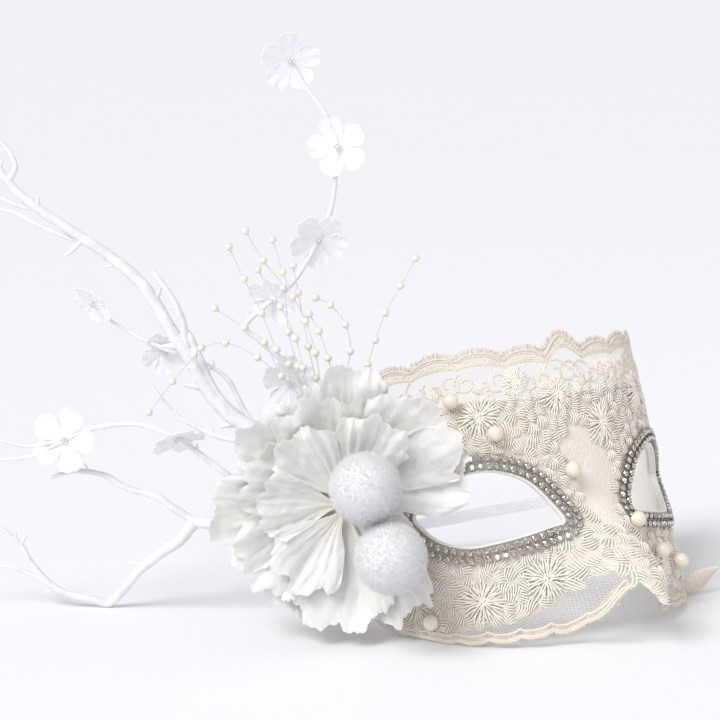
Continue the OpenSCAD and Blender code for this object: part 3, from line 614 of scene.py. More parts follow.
blossomFinish = finish("blossom cloth", (248, 249, 253), (232, 234, 243), grainOf(1500.0, 200.0),
                       tone=(120.0, 0.5), bump=(0.0003, 0.5),
                       plain={**cloth, "Subsurface Weight": 0.3, "Subsurface Radius": (1, 1, 1),
                              "Subsurface Scale": 0.0015})
stemFinish = finish("clear stem", (238, 238, 242), (224, 224, 230), grainOf(900.0, 300.0),
                    bump=(0.0001, 0.2), plain={"Roughness": 0.25, "Transmission Weight": 0.2, "IOR": 1.45})
elasticFinish = finish("ribbed elastic", (246, 246, 250), (228, 228, 236),
                       ("weave", {"Pitch": 5.0, "Lumps": 0.3}), tone=(60.0, 0.4), bump=(0.0001, 0.4),
                       coords="UV", stretch=(1, 4, 1), plain=cloth)
print("finishes ready")

# The elastic, a free cord between the two tabs
strapPlan = {"wide": 6, "thick": 0.95, "ribs": 9, "tabSide": 7, "tabHigh": 6, "tabThick": 1.4, "in": 0.2,
             "out": 7, "dip": 0.8}
tabS = halfLen - strapPlan["tabSide"]
tabOff = -maskShape["baseThick"] - maskShape["liningThick"] - 2 * maskShape["gap"]
tabBack = tabOff - maskShape["seatGap"] - strapPlan["tabThick"]
tabAt = (tabS, strapPlan["tabHigh"])
tabEnd = (tilted(*tabAt) + (tabBack - 1) * outward(*tabAt)) + [0, 0, riseUp]
near = tabEnd + [-strapPlan["in"], strapPlan["out"], -strapPlan["dip"]]
strapRoute = [tabEnd * [-1, 1, 1], near * [-1, 1, 1], (-77, 88, 32), (-71, 99, 27), (-63, 108, 22.5),
              (-53, 116, 19), (-42, 121, 16.5), (-30, 125, 15), (-18, 127, 14.5), (-6, 127, 14.5),
              (6, 126, 15), (18, 123, 16), (30, 118, 18), (42, 112, 20), (53, 105, 22.5), (63, 97, 26),
              (72, 88, 30.5), near, tabEnd]
strapLine = (smoothLine(strapRoute, 4) - [*maskShape["middle"], 0]) * mm
strapAlong = unit(np.gradient(strapLine, axis=0))
strapSide = unit(np.cross(strapAlong, [0, 0, 1.0]))
strapUp = np.cross(strapSide, strapAlong)
across = np.linspace(-1, 1, strapPlan["ribs"] * 4 + 1)
crest = 0.12
ribs = strapPlan["thick"] / 2 - crest + crest * np.cos(across * strapPlan["ribs"] * math.pi)
ribs = ribs * (1 - 0.75 * np.abs(across) ** 12)
halfWide = strapPlan["wide"] / 2
section = [(u * halfWide, r) for u, r in zip(across, ribs)]
section += [(u, -r) for u, r in section[::-1]]
strapPoints = np.concatenate([[p + (u * w + v * d) * mm for w, d in section]
                              for p, u, v in zip(strapLine, strapUp, strapSide)])
m = len(section)
strapFaces = ringFaces(len(strapLine), m)
strapFaces += [tuple(range(m))[::-1], tuple((len(strapLine) - 1) * m + k for k in range(m))]
strapRun = runOf(strapLine) / mm
elastic = addPiece("elasticStrap", strapPoints, [f[::-1] for f in strapFaces], elasticFinish,
                   flat=[(w, run) for run in strapRun for w, d in section])
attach(elastic, "strap")
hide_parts("elastic_strap")
print("elastic", round(float(strapRun[-1])), "mm long")


def onRoot(piece, slot, *replaced):
    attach(piece, "root")
    if replaced:
        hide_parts(*replaced)
    return piece


# Eye outlines and the patches cut round them
eyePlan = {"long": 61, "high": 30, "x": 48, "z": 5, "cup": 3, "cupGap": 0.35, "rim": 0.6}
eyeShape = [(-1, -0.76), (-0.84, -0.1), (-0.6, 0.5), (-0.3, 0.85), (0.0, 1), (0.3, 0.95), (0.6, 0.72),
            (1, 0.2), (0.9, -0.28), (0.68, -0.7), (0.35, -0.97), (0.0, -1), (-0.4, -0.96), (-0.8, -0.86)]


# The eye's outline, off millimetres outside it; side is 1 for the left eye, -1 for the right
def eyeRing(off, side=1, steps=6):
    size, place = [eyePlan["long"] / 2, eyePlan["high"] / 2], [eyePlan["x"], eyePlan["z"]]
    ring = smoothLine(eyeShape, steps, closed=True) * size + place
    t = unit(np.roll(ring, -1, 0) - np.roll(ring, 1, 0))
    ring = ring + off * np.stack([-t[:, 1], t[:, 0]], 1)
    return ring if side > 0 else ring[::-1] * [-1, 1]


# Flat outline between two edge functions, closed, with points about a pitch apart
def bandRing(start, end, low, high, pitch):
    n = int((end - start) / pitch)
    s = np.linspace(start, end, n + 1)
    rows = max(2, int((high(end) - low(end)) / pitch))
    sides = [np.stack([np.full(rows - 1, at), low(at) + (high(at) - low(at)) * np.arange(1, rows) / rows],
                      1) for at in (end, start)]
    return np.concatenate([np.stack([s, low(s)], 1), sides[0], np.stack([s, high(s)], 1)[::-1],
                           sides[1][::-1]])


# Triangles that fill a flat outline round its holes
def cutPatch(outline, holes, pitch):
    rings = [np.asarray(outline), *holes]
    lo, hi = rings[0].min(0), rings[0].max(0)
    x, y = np.meshgrid(np.arange(lo[0], hi[0], pitch), np.arange(lo[1], hi[1], pitch * 0.87))
    x = x + pitch / 2 * (np.arange(x.shape[0]) % 2)[:, None]
    fill = np.stack([x.ravel(), y.ravel()], 1)
    fill = fill[inside(fill, rings[0])]
    for hole in holes:
        fill = fill[~inside(fill, hole)]
    edge = np.concatenate(rings)
    close = np.concatenate([np.min(np.linalg.norm(part[:, None] - edge[None], axis=2), 1)
                            for part in np.array_split(fill, 40)])
    fill = fill[close > pitch * 0.55]
    points, edges = [], []
    for ring in rings:
        n = len(points)
        edges += [(n + i, n + (i + 1) % len(ring)) for i in range(len(ring))]
        points += ring.tolist()
    points += fill.tolist()
    made = geometry.delaunay_2d_cdt([Vector(p) for p in points], edges, [], 0, 1e-5)
    flat = np.array([v[:] for v in made[0]])
    faces = np.array([f for f in made[2] if len(f) == 3])
    mid = flat[faces].mean(1)
    keep = inside(mid, rings[0])
    for hole in holes:
        keep &= ~inside(mid, hole)
    return flat, faces[keep]


# Patch of the mask's face, inset from its edge and grown round the eyes
def facePatch(ends, inset, pitch, eyeOff, fill, *more):
    ring = bandRing(ends - halfLen, halfLen - ends, lambda s: lowAt(s) + inset, lambda s: topAt(s) - inset,
                    pitch)
    return cutPatch(ring, [eyeRing(eyeOff, 1), eyeRing(eyeOff, -1), *more], fill)


# A flat patch laid on the mask as a closed sheet between two offsets
def layPatch(name, patch, inner, outer, finishUsed):
    flat, faces = patch
    front, rear = (onMask(flat[:, 0], flat[:, 1], off) for off in (outer, inner))
    n = len(flat)
    count = {}
    for f in faces:
        for i in range(3):
            count[(f[i], f[(i + 1) % 3])] = 1
    rim = [(i, j) for i, j in count if (j, i) not in count]
    allFaces = [*map(tuple, faces), *[(n + f[0], n + f[2], n + f[1]) for f in faces],
                *[(i, n + i, n + j, j) for i, j in rim]]
    return addPiece(name, np.concatenate([front, rear]), allFaces, finishUsed,
                    flat=np.concatenate([flat, flat]))


basePatch = facePatch(0, 0, 1.8, 0, 2.4)
base = onRoot(layPatch("maskBase", basePatch, -maskShape["baseThick"], 0, leatherFinish), "ivory_base",
              "mask_base")
liningPatch = facePatch(2, 2, 2.2, 1.2, 2.8)
liningTop = -maskShape["baseThick"] - maskShape["gap"]
lining = onRoot(layPatch("feltLining", liningPatch, liningTop - maskShape["liningThick"], liningTop,
                         feltFinish), "felt", "inner_lining")
print("base and lining")

# The lace ground, with the bridge left bare
lacePlan = {"seed": 11, "thick": 0.25, "bare": [(-6, 31), (2, 34), (9, 27), (14, 17), (13, 6), (10, -6),
    (3, -14), (-5, -9), (-8, 4), (-6, 14), (-12, 22)], "ray": 0.38, "rays": 19, "strokes": 5, "clump": 4.5,
    "stitch": 0.36, "trim": 2.2}
bareRing = smoothLine(lacePlan["bare"], 4, closed=True)
coverPatch = facePatch(3, lacePlan["trim"], 2.0, 0.5, 2.4, bareRing)
cover = onRoot(layPatch("laceGround", coverPatch, maskShape["gap"], maskShape["gap"] + lacePlan["thick"],
                        tulleFinish), "lace", "lace_cover")

# Embroidered flowers: place and reach
flowers = [(-43.5, 42, 9.5), (-8, 45.5, 9), (12.5, 31, 9.5), (-30, -28, 10.5), (-57, -32, 9.5), (42, 43, 9),
           (72, 40, 9.5), (98, 22, 8.5), (105, -8, 8.5), (60, -30, 10), (34, -31, 8), (-76, 40, 9),
           (-85, -27, 9), (-105, -4, 8.5), (-104, 22, 8), (88, -22, 8), (24, 52, 7), (-26, 53, 7)]
rng = random.Random(lacePlan["seed"])


# A path of flat points with a height over the lace ground
def sewn(points):
    s, h, z = np.asarray(points, float).T
    return onMask(s, h, maskShape["gap"] + lacePlan["thick"] + z)


rayPaths, rayGirths, knotPlaces = [], [], []
for fs, fh, reach in flowers:
    start = rng.uniform(0, 1)
    for layer, (count, share, root) in enumerate(((lacePlan["rays"], 1.0, 0.3),
            (lacePlan["rays"] // 2, 0.62, 0.18))):
        for k in range(count):
            angle = 2 * math.pi * (k + start + 0.25 * rng.uniform(-1, 1)) / count
            long = reach * share * rng.uniform(0.82, 1.08)
            wide = 0.4 if layer else 0.5 * rng.uniform(0.8, 1.2)
            for side in (-1, 1):
                t = np.linspace(root, 1, 7)
                r = long * t * (1 + 0.05 * side)
                w = side * wide * (0.35 + 0.9 * np.sin(t * math.pi * 0.62)) * reach / 9
                ca, sa = math.cos(angle), math.sin(angle)
                z = 0.2 + 0.95 * np.sin(np.clip((t - root) / (1 - root), 0, 1) * math.pi) ** 0.8 + 0.4 * layer
                rayPaths.append(sewn(np.stack([fs + r * ca - w * sa, fh + r * sa + w * ca, z], 1)))
                rayGirths.append(0.75 + 0.4 * np.sin(t * math.pi))
    for k in range(9):
        angle, r = 2.4 * k, 0.42 * math.sqrt(k) * reach / 9
        ks, kh = fs + 1.5 * r * math.cos(angle), fh + 1.5 * r * math.sin(angle)
        knotPlaces.append((sewn([(ks, kh, 0.9)])[0], maskTurn(ks, kh, angle), 1.0))
flowerWork = onRoot(threads("laceFlowers", rayPaths, lacePlan["ray"], threadFinish, 4, rayGirths), "lace")

# Clumps of short satin stitches between the flowers
bars = np.array([(f[0], f[1], f[2] * 0.86) for f in flowers])
spots = np.zeros((0, 2))
innerEyes = [eyeRing(eyePlan["rim"] + 2 * eyePlan["cup"] + 1.2, side) for side in (1, -1)]
grid = []
for s in np.arange(-halfLen + 3, halfLen - 3, lacePlan["clump"] * 0.5):
    for h in np.arange(-48, 60, lacePlan["clump"] * 0.5):
        grid.append((s + rng.uniform(-0.8, 0.8), h + rng.uniform(-0.8, 0.8)))
rng.shuffle(grid)
grid = np.array(grid)
reachUp = np.array([7 * rng.random() ** 2 for _ in grid])
ok = (grid[:, 1] > lowAt(grid[:, 0]) + 0.4) & (grid[:, 1] < topAt(grid[:, 0]) + reachUp) & ~inside(grid,
    bareRing)
for ring in innerEyes:
    ok &= ~inside(grid, ring)
for fs, fh, reach in bars:
    ok &= np.hypot(grid[:, 0] - fs, grid[:, 1] - fh) > reach
for p in grid[ok]:
    if len(spots) == 0 or np.min(np.hypot(*(spots - p).T)) > lacePlan["clump"] * 0.78:
        spots = np.concatenate([spots, p[None]])
stitchPaths, stitchGirths = [], []
for s, h in spots:
    flow = 2.2 * noiseAt(s * 0.05, h * 0.05, 3.0) * math.pi
    angle = flow + rng.choice((0, 0.9, -0.9)) + rng.uniform(-0.3, 0.3)
    long, bend = rng.uniform(4.2, 7.0), rng.uniform(-0.9, 0.9)
    for k in range(lacePlan["strokes"]):
        q = 2 * k / (lacePlan["strokes"] - 1) - 1
        t = np.linspace(-1, 1, 5)
        along = t * long * (1 - 0.35 * q * q) / 2
        side = q * (2.0 + 0.5 * t) + bend * t * t
        z = 0.1 + 1.1 * (1 - t ** 2) * (1 - 0.4 * q * q)
        ca, sa = math.cos(angle), math.sin(angle)
        stitchPaths.append(sewn(np.stack([s + along * ca - side * sa, h + along * sa + side * ca, z], 1)))
        stitchGirths.append(1.1 - 0.35 * np.abs(t))
bridge = -maskShape["middle"][0] * mm
half = [i for i, p in enumerate(stitchPaths) if p[2][0] < bridge]
other = [i for i, p in enumerate(stitchPaths) if p[2][0] >= bridge]
for name, pick in (("rightStitches", half), ("leftStitches", other)):
    paths, girths = [stitchPaths[i] for i in pick], [stitchGirths[i] for i in pick]
    onRoot(threads(name, paths, lacePlan["stitch"], threadFinish, 4, girths), "lace")
print("lace ground:", len(flowers), "flowers,", len(spots), "clumps")


# Knots: a small rounded bead of thread, also the heart of each blossom
def ball(name, radius, rings=8, turns=12):
    t = np.linspace(0, math.pi, rings + 1)[1:-1]
    a = np.arange(turns) * 2 * math.pi / turns
    points = [(0, 0, radius)]
    points += [(radius * math.sin(p) * math.cos(q), radius * math.sin(p) * math.sin(q), radius * math.cos(p))
               for p in t for q in a]
    points.append((0, 0, -radius))
    faces = [(0, 1 + k, 1 + (k + 1) % turns) for k in range(turns)]
    for r in range(len(t) - 1):
        faces += [(1 + r * turns + k, 1 + (r + 1) * turns + k, 1 + (r + 1) * turns + (k + 1) % turns,
                   1 + r * turns + (k + 1) % turns) for k in range(turns)]
    last = 1 + (len(t) - 1) * turns
    faces += [(last + k, len(points) - 1, last + (k + 1) % turns) for k in range(turns)]
    return addPiece(name, np.array(points), faces)


knot = ball("knotMaster", 0.75 * mm, 5, 7)
knots = onRoot(copies("laceKnots", knot, knotPlaces, threadFinish), "lace")
bpy.data.objects.remove(knot)

# Net, cords and fringe of the open lace edges
edgePlan = {"cell": 1.2, "net": 0.11, "cord": 0.45, "fine": 0.5, "fringe": 0.19, "fringeLong": 3.2,
            "fringePitch": 0.3, "join": 1.5, "hold": 2.2}


# Six-sided net over a flat region
def netPaths(low, high, start, end, cell):
    paths = []
    r = cell / math.sqrt(3)
    for col in range(int((end - start) / (1.5 * r)) + 1):
        s = start + col * 1.5 * r
        for row in range(int((high(s) - low(s)) / cell) + 3):
            h = low(s) - cell + row * cell + (cell / 2 if col % 2 else 0)
            corner = [(s + r * math.cos(k * math.pi / 3), h + r * math.sin(k * math.pi / 3))
                      for k in range(4)]
            if all(start - 1 < p[0] < end + 1 and low(p[0]) < p[1] < high(p[0]) for p in corner):
                paths.append(corner)
    return paths


# Flat points, with a height where they have one, in the middle of the open lace
def edgeSkin(points):
    p = np.asarray(points, float)
    z = p[:, 2] if p.shape[1] > 2 else np.zeros(len(p))
    return onMask(p[:, 0], p[:, 1], 0.3 + maskShape["laceThick"] / 2 + z)


def edgeNormal(edge, s, step=0.2):
    t = np.array([2 * step, float(edge(s + step) - edge(s - step))])
    t /= np.linalg.norm(t)
    return np.array([-t[1], t[0]])


def fringePaths(edge, start, end, outwardSign, inset, long):
    paths, s = [], start
    while s < end:
        n = outwardSign * edgeNormal(edge, s)
        root = np.array([s, float(edge(s))]) - n * inset
        tip = root + n * long * rng.uniform(0.75, 1.1) + [0.5 * rng.uniform(-1, 1), 0]
        mid = (root + tip) / 2 + [0.25 * rng.uniform(-1, 1), 0]
        paths.append([(*root, 0.0), (*mid, 0.25 * rng.uniform(-1, 1)), (*tip, 0.45 * rng.uniform(-1, 1))])
        step = edgePlan["fringePitch"] / max(0.35, abs(n[1]))
        s += min(step, edgePlan["fringePitch"]) * (abs(n[1]) * 0.7 + 0.3)
    return paths


def cordPath(edge, start, end, shift, z=0.0, pitch=0.8):
    s = np.arange(start, end + pitch / 2, pitch)
    n = np.array([edgeNormal(edge, v) for v in s])
    return np.concatenate([np.stack([s, edge(s)], 1) + n * shift, np.full((len(s), 1), z)], 1)


edgeEnd = halfLen - 0.6


def upperBase(s):
    return topAt(s) - edgePlan["join"]


def upperInner(s):
    return upperEdge(s) - edgePlan["hold"]


# The cord that follows the scallops at a distance
def bandLow(s):
    return upperEdge(s) - 0.55 * scallop(s) - 3.6


netTop = netPaths(upperBase, upperInner, -edgeEnd, edgeEnd, edgePlan["cell"])
upperNet = threads("upperLaceNet", [edgeSkin(p) for p in netTop], edgePlan["net"], netFinish, 3)
cords = [cordPath(upperEdge, -edgeEnd, edgeEnd, -2.0), cordPath(upperEdge, -edgeEnd, edgeEnd, -1.2, 0.3)]
cords.append(cordPath(bandLow, -edgeEnd, edgeEnd, 0, 0.15))
fineCords = [cordPath(lambda s: upperEdge(s) - scallop(s) * 0.5 - 3.0, -edgeEnd, edgeEnd, 0, 0.1)]
# Scrolls: a running wave with a curl in each turn, between the base and the scallops
scrollPitch = 2 * halfLen / maskShape["scallops"] / 2
for k in range(-18, 19):
    mid = k * scrollPitch * 0.68
    if abs(mid) > edgeEnd - 8:
        continue
    room = float(upperEdge(mid) - scallop(mid) - topAt(mid)) - 3.5
    turn = rng.choice((1, -1))
    room *= rng.uniform(0.75, 1.1)
    centre = (mid, float(topAt(mid)) + 1 + room / 2)
    t = np.linspace(rng.uniform(-1.2, 0.6), rng.uniform(1.3, 2.6) * math.pi, 19)
    r = 0.36 * room * (1 - 0.72 * (t - t[0]) / (t[-1] - t[0]))
    curl = np.stack([centre[0] + turn * r * np.cos(t) * 1.1, centre[1] + r * np.sin(t) * turn], 1)
    fineCords.append(np.concatenate([curl, np.full((len(curl), 1), 0.25)], 1))
dotPlaces = []
for row, drop in enumerate((1.2, 2.3, 3.3, 4.2)):
    for s in np.arange(-edgeEnd + 0.5 * row, edgeEnd, 1.15):
        h = float(upperEdge(s)) - drop - 0.2 * scallop(s) * row / 3
        dotPlaces.append((edgeSkin([(s, h, 0.1)])[0], maskTurn(s, h), rng.uniform(0.45, 0.8)))
dot = ball("dotMaster", 0.7 * mm, 4, 6)
upperDots = copies("upperLaceDots", dot, dotPlaces, edgeFinish)
upperCords = threads("upperLaceCords", [edgeSkin(p) for p in cords], edgePlan["cord"], edgeFinish, 6)
upperFine = threads("upperLaceScrolls", [edgeSkin(p) for p in fineCords], edgePlan["fine"], edgeFinish, 6)
fringe = fringePaths(upperEdge, -edgeEnd, edgeEnd, 1, 2.6, edgePlan["fringeLong"] + 0.8)
upperFringe = threads("upperLaceFringe", [edgeSkin(p) for p in fringe], edgePlan["fringe"], edgeFinish, 3)
for piece in (upperNet, upperCords, upperFine, upperFringe, upperDots):
    onRoot(piece, "lace")
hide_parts("upper_lace")
bpy.data.objects.remove(dot)


def hemLow(s):
    return lowerEdge(s) + 0.9


def hemHigh(s):
    return lowAt(s) + 2.0


def hemTop(s):
    return np.minimum(lowerEdge(s) + 3.6, lowAt(s) + 1.5)


# The hem's cords turn up beside the nose and run back onto the lace
def hemTurn(start, end):
    at, to = (start, -1) if start > 0 else (end, 1)
    low, high = float(lowerEdge(at)), float(lowAt(at)) + 2.5
    q = np.linspace(0, 1, 9)
    curve = np.stack([at + to * 3.0 * np.sin(q * math.pi / 2),
                      low + 0.6 + (high - low - 0.6) * (1 - np.cos(q * math.pi / 2)), 0.2 + 0 * q], 1)
    return [curve, curve + [-to * 0.9, 0.3, 0]]


for name, start, end in (("right", -edgeEnd, -8.5), ("left", 8.5, edgeEnd)):
    meshes = netPaths(hemLow, hemHigh, start, end, edgePlan["cell"] * 0.9)
    net = threads(name + "HemNet", [edgeSkin(p) for p in meshes], edgePlan["net"], netFinish, 3)
    lines = [cordPath(lowerEdge, start, end, 0.6), cordPath(lowerEdge, start, end, 1.3, 0.25),
             cordPath(hemTop, start, end, 0, 0.1), *hemTurn(start, end)]
    heavy = threads(name + "HemCords", [edgeSkin(p) for p in lines], edgePlan["cord"] + 0.1, edgeFinish, 6)
    steps = fringePaths(lowerEdge, start, end, -1, 3.4, 3.6)
    rungs = threads(name + "HemRungs", [edgeSkin(p) for p in steps], 0.24, edgeFinish, 3)
    for piece in (net, heavy, rungs):
        onRoot(piece, "lace")
    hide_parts(name + "_lower_lace")
print("open edges")

# A pointed lace leaf that turns out from the far cheek
leafPlan = {"s": 66, "long": 19, "wide": 9, "out": (0.86, -0.12, 0.5), "veins": 9}
leafRoot = onMask(leafPlan["s"], float(lowerEdge(leafPlan["s"])) + 2, laceTop)
leafOut = np.array(leafPlan["out"]) / np.linalg.norm(leafPlan["out"])
leafSide = unit(np.cross(leafOut, [0.25, -1, 0.1]))
leafUp = np.cross(leafOut, leafSide)
v = np.linspace(0, 1, 24)[:, None]
u = np.linspace(-1, 1, 15)[None, :]
leafWide = leafPlan["wide"] / 2 * (np.sin(np.pi * v ** 0.75) * 0.85 + 0.3 * (1 - v)) * (1 + 0.06
    * np.sin(v * 44))
leafRise = 0.9 * u ** 2 - 1.6 * v ** 2 + 0.25 * np.cos(v * 40)
leafGrid = leafRoot + (v[..., None] * leafPlan["long"] * leafOut + (u * leafWide)[..., None] * leafSide
                       + leafRise[..., None] * leafUp) * mm
leafNormal = leafUp * 0.35 * mm
points, faces = closedGrid(leafGrid + leafNormal, leafGrid - leafNormal)
onRoot(addPiece("laceLeaf", points, [f[::-1] for f in faces], tulleFinish,
                flat=[(a * 4, b * 16) for _ in (0, 1) for b in v[:, 0] for a in u[0]]), "lace")
leafLines = [leafGrid[:, 0], leafGrid[:, -1], leafGrid[:, 7] + leafNormal * 1.6]
for k in range(leafPlan["veins"]):
    for side in (-1, 1):
        vein = [leafGrid[min(23, int(k * 2.4) + j), 7 + side * j] + leafNormal * 1.5 for j in range(8)]
        leafLines.append(np.stack(vein))
onRoot(threads("laceLeafVeins", leafLines, 0.3, threadFinish, 5), "lace")

# Stones in claw cups round the eyes
stonePlan = {"cup": 1.5, "high": 1.3, "claw": 0.36, "stone": 1.34, "crown": 0.85, "seed": 5}
clawFaces = [(1, 0, 2, 3), (3, 2, 4, 5), (6, 7, 9, 8), (8, 9, 11, 10), (0, 6, 8, 2), (2, 8, 10, 4),
             (7, 1, 3, 9), (9, 3, 5, 11), (4, 10, 11, 5), (0, 1, 7, 6)]


# An eight-sided cup with four claws
def cupMaster():
    r, h, n = stonePlan["cup"], stonePlan["high"], 8
    points = []
    for radius, z in ((r * 0.82, 0), (r, h * 0.45), (r * 0.98, h), (r * 0.8, h)):
        points += [(x, y, z) for x, y in circleOf(radius, n, 0.5)]
    points += [(0, 0, 0), (0, 0, h * 0.7)]
    faces = ringFaces(4, n, capped=True)
    for k in range(4):
        a = math.pi / 2 * k + math.pi / 4
        c, s, w = math.cos(a), math.sin(a), stonePlan["claw"] / 2
        start = len(points)
        for rr, z, ww in ((1.02, 0.3, 1.3), (1.04, 1.15, 1), (0.62, 1.5, 0.7), (0.86, 0.3, 1.3),
                          (0.84, 1.0, 1), (0.55, 1.3, 0.7)):
            rr, z, ww = rr * r, z * h, ww * w
            points += [(rr * c - ww * s, rr * s + ww * c, z), (rr * c + ww * s, rr * s - ww * c, z)]
        faces += [tuple(start + i for i in f) for f in clawFaces]
    return addPiece("cupMaster", np.array(points) * mm, faces, smooth=False)


# A faceted stone, its table over a ring of kite facets
def stoneMaster():
    r, n = stonePlan["stone"], 8
    rings = [(r * 0.35, -0.3, 0), (r, 0.1, 0), (r * 0.98, 0.28, 0), (r * 0.82, 0.52, 0.5),
             (r * 0.55, stonePlan["crown"], 0)]
    points, faces = [], []
    for radius, z, shift in rings:
        points += [(x, y, z) for x, y in circleOf(radius, n, shift)]
    for i, (a, b, c, d) in enumerate(ringFaces(len(rings), n)):
        crown = {2: [(a, b, d), (b, c, d)], 3: [(a, b, c), (a, c, d)]}
        faces += crown.get(i // n, [(a, b, c, d)])
    faces += [tuple(range(n))[::-1], tuple(4 * n + k for k in range(n))]
    return addPiece("stoneMaster", np.array(points) * mm, faces, smooth=False)


cupShape, stoneShape = cupMaster(), stoneMaster()
stoneRng = random.Random(stonePlan["seed"])
seatLift = laceTop + maskShape["seatGap"]
for name, side in (("right", -1), ("left", 1)):
    cupAt, stoneAt = [], []
    for row in range(2):
        off = eyePlan["rim"] + eyePlan["cup"] / 2 + row * (eyePlan["cup"] + eyePlan["cupGap"])
        ring = eyeRing(off, side, 8)
        closed = np.concatenate([ring, ring[:1]])
        run = runOf(onMask(closed[:, 0], closed[:, 1], laceTop)) / mm
        count = int(run[-1] / (eyePlan["cup"] + eyePlan["cupGap"]))
        for k in range(count):
            at = run[-1] * k / count
            s, h = np.interp(at, run, closed[:, 0]), np.interp(at, run, closed[:, 1])
            s2, h2 = (np.interp((at + 0.5) % run[-1], run, closed[:, i]) for i in (0, 1))
            turn = maskTurn(s, h, math.atan2(h2 - h, s2 - s))
            tip = Matrix.Rotation(stoneRng.uniform(-0.12, 0.12), 3, "X")
            tip = tip @ Matrix.Rotation(stoneRng.uniform(-0.12, 0.12), 3, "Y")
            cupAt.append((onMask(s, h, seatLift), turn, 1.0))
            stoneAt.append((onMask(s, h, seatLift + stonePlan["high"] * 0.82),
                            turn @ np.array(tip @ Matrix.Rotation(stoneRng.uniform(0, 0.8), 3, "Z")), 1.0))
    onRoot(copies(name + "EyeCups", cupShape, cupAt, metalFinish, False), "cup_metal", name + "_eye_cups")
    onRoot(copies(name + "EyeStones", stoneShape, stoneAt, stoneFinish, False), "stone", name + "_eye_stones")
    # A rolled bias edge inside the eye hole
    ring = eyeRing(0.1, side, 6)
    loop = np.concatenate([ring, ring[:1]])
    binding = [onMask(loop[:, 0], loop[:, 1], z) for z in (0.55, -0.3, -1.2)]
    onRoot(threads(name + "EyeBinding", binding, 0.62, feltFinish, 8), "felt")
for master in (cupShape, stoneShape):
    bpy.data.objects.remove(master)
print("stones")

# Loose pearls on the lace
pearlPlan = {"wide": 6.5, "places": [(-53, 50), (-39, 33.5), (-10, 13.5), (-79, -36), (11.6, -13.4),
                                     (30, -26), (46, -32)]}
pearlShape = ball("pearlMaster", pearlPlan["wide"] / 2 * mm, 20, 32)
pearlAt = [(onMask(s, h, seatLift + pearlPlan["wide"] / 2), maskTurn(s, h), 1.0) for s,
           h in pearlPlan["places"]]
facePearls = copies("facePearls", pearlShape, pearlAt, pearlFinish)
onRoot(facePearls, "pearl", "face_pearls")
bpy.data.objects.remove(pearlShape)
holders = []
for s, h in pearlPlan["places"]:
    t = np.linspace(0, 2 * math.pi, 17)
    holders.append(onMask(s + 1.5 * np.cos(t), h + 1.5 * np.sin(t), laceTop + 0.2))
onRoot(threads("pearlStitches", holders, 0.28, threadFinish, 5), "lace")

# Sewn tabs that hold the elastic
tabPlan = {"r": 4.7, "stitches": 14}
for name, side in (("right", -1), ("left", 1)):
    s, h = side * tabS, strapPlan["tabHigh"]
    t = np.arange(28) * 2 * math.pi / 28
    rings = []
    turnTab, centre = maskTurn(s, h), onMask(s, h, tabBack)
    for r, z in ((0.001, 0.4), (0.75, 0.4), (0.95, 0.5), (1, 0.7), (1, 1.0), (0.93, 1.3), (0.75, 1.4),
                 (0.001, 1.4)):
        rings.append(np.array([centre + turnTab @ np.array([tabPlan["r"] * r * math.cos(q),
            tabPlan["r"] * r * math.sin(q), z]) * mm for q in t]))
    n = len(t)
    tab = addPiece(name + "Tab", np.concatenate(rings), ringFaces(len(rings), n), feltFinish)
    onRoot(tab, "felt", name + "_strap_tab")
    inner = onMask(s, h, tabBack + 0.45)
    sewing = []
    for k in range(tabPlan["stitches"]):
        q = np.linspace(0, 0.6, 4) * 2 * math.pi / tabPlan["stitches"] + 2 * math.pi * k / tabPlan["stitches"]
        sewing.append(np.array([inner + turnTab @ np.array([3.9 * math.cos(v), 3.9 * math.sin(v), 0]) * mm
                                for v in q]))
    onRoot(threads(name + "TabStitches", sewing, 0.2, threadFinish, 5), "felt")

# Flower pad
padPlan = {"r": 9, "front": 1.2, "steps": 32}
circle = circleOf(padPlan["r"], padPlan["steps"])
rows = []
for q, swell in ((0, 0.9), (0.06, 1.0), (0.35, 1.03), (0.65, 1.03), (0.94, 1.0), (1.0, 0.9)):
    c = circle * swell
    low = onMask(bouquetPlan["seat"][0] + c[:, 0], bouquetPlan["seat"][1] + c[:, 1],
                 laceTop + maskShape["seatGap"])
    high = fromHeart(np.stack([bouquetPlan["side"] / 2 + c[:, 0], np.full(len(c), padPlan["front"]),
                               c[:, 1]], 1))
    rows.append(low + (high - low) * q)
low, high = rows[0].mean(0), rows[-1].mean(0)
pad = addPiece("flowerPad", np.concatenate([*rows, [low], [high]]),
               ringFaces(len(rows), padPlan["steps"], capped=True), feltFinish)
onRoot(pad, "felt", "flower_pad")

# Silk petals: turn, reach, half spread in degrees, depth at the heart, folds, phase
petalPlan = {"thick": 0.22, "cols": 60, "rows": 40, "seed": 21, "root": 2.5}
petalRings = {
    "backPetals": ("back_petals", 51, 9, 1.0, [(88, 57, 24, 3, 0.3), (140, 52, 30, 4, 1.2),
        (188, 55, 30, 3, 2.1),
                                              (242, 50, 30, 4, 0.7), (296, 52, 27, 3, 4.0),
                                              (22, 50, 30, 4, 2.6)]),
    "middlePetals": ("middle_petals", 43, 8, -1.6, [(47, 54, 34, 4, 0.9), (112, 47, 27, 5, 3.3),
        (163, 44, 30, 4, 5.0),
                                                   (213, 49, 32, 4, 1.7), (265, 50, 33, 4, 0.2)]),
    "frontPetals": ("front_petals", 35, 8, -5.2, [(70, 40, 30, 5, 2.0), (128, 38, 30, 4, 0.5),
        (178, 36, 30, 5, 3.6),
                                                 (232, 38, 34, 4, 1.1), (330, 27, 30, 4, 4.4)]),
}
petalRng = random.Random(petalPlan["seed"])


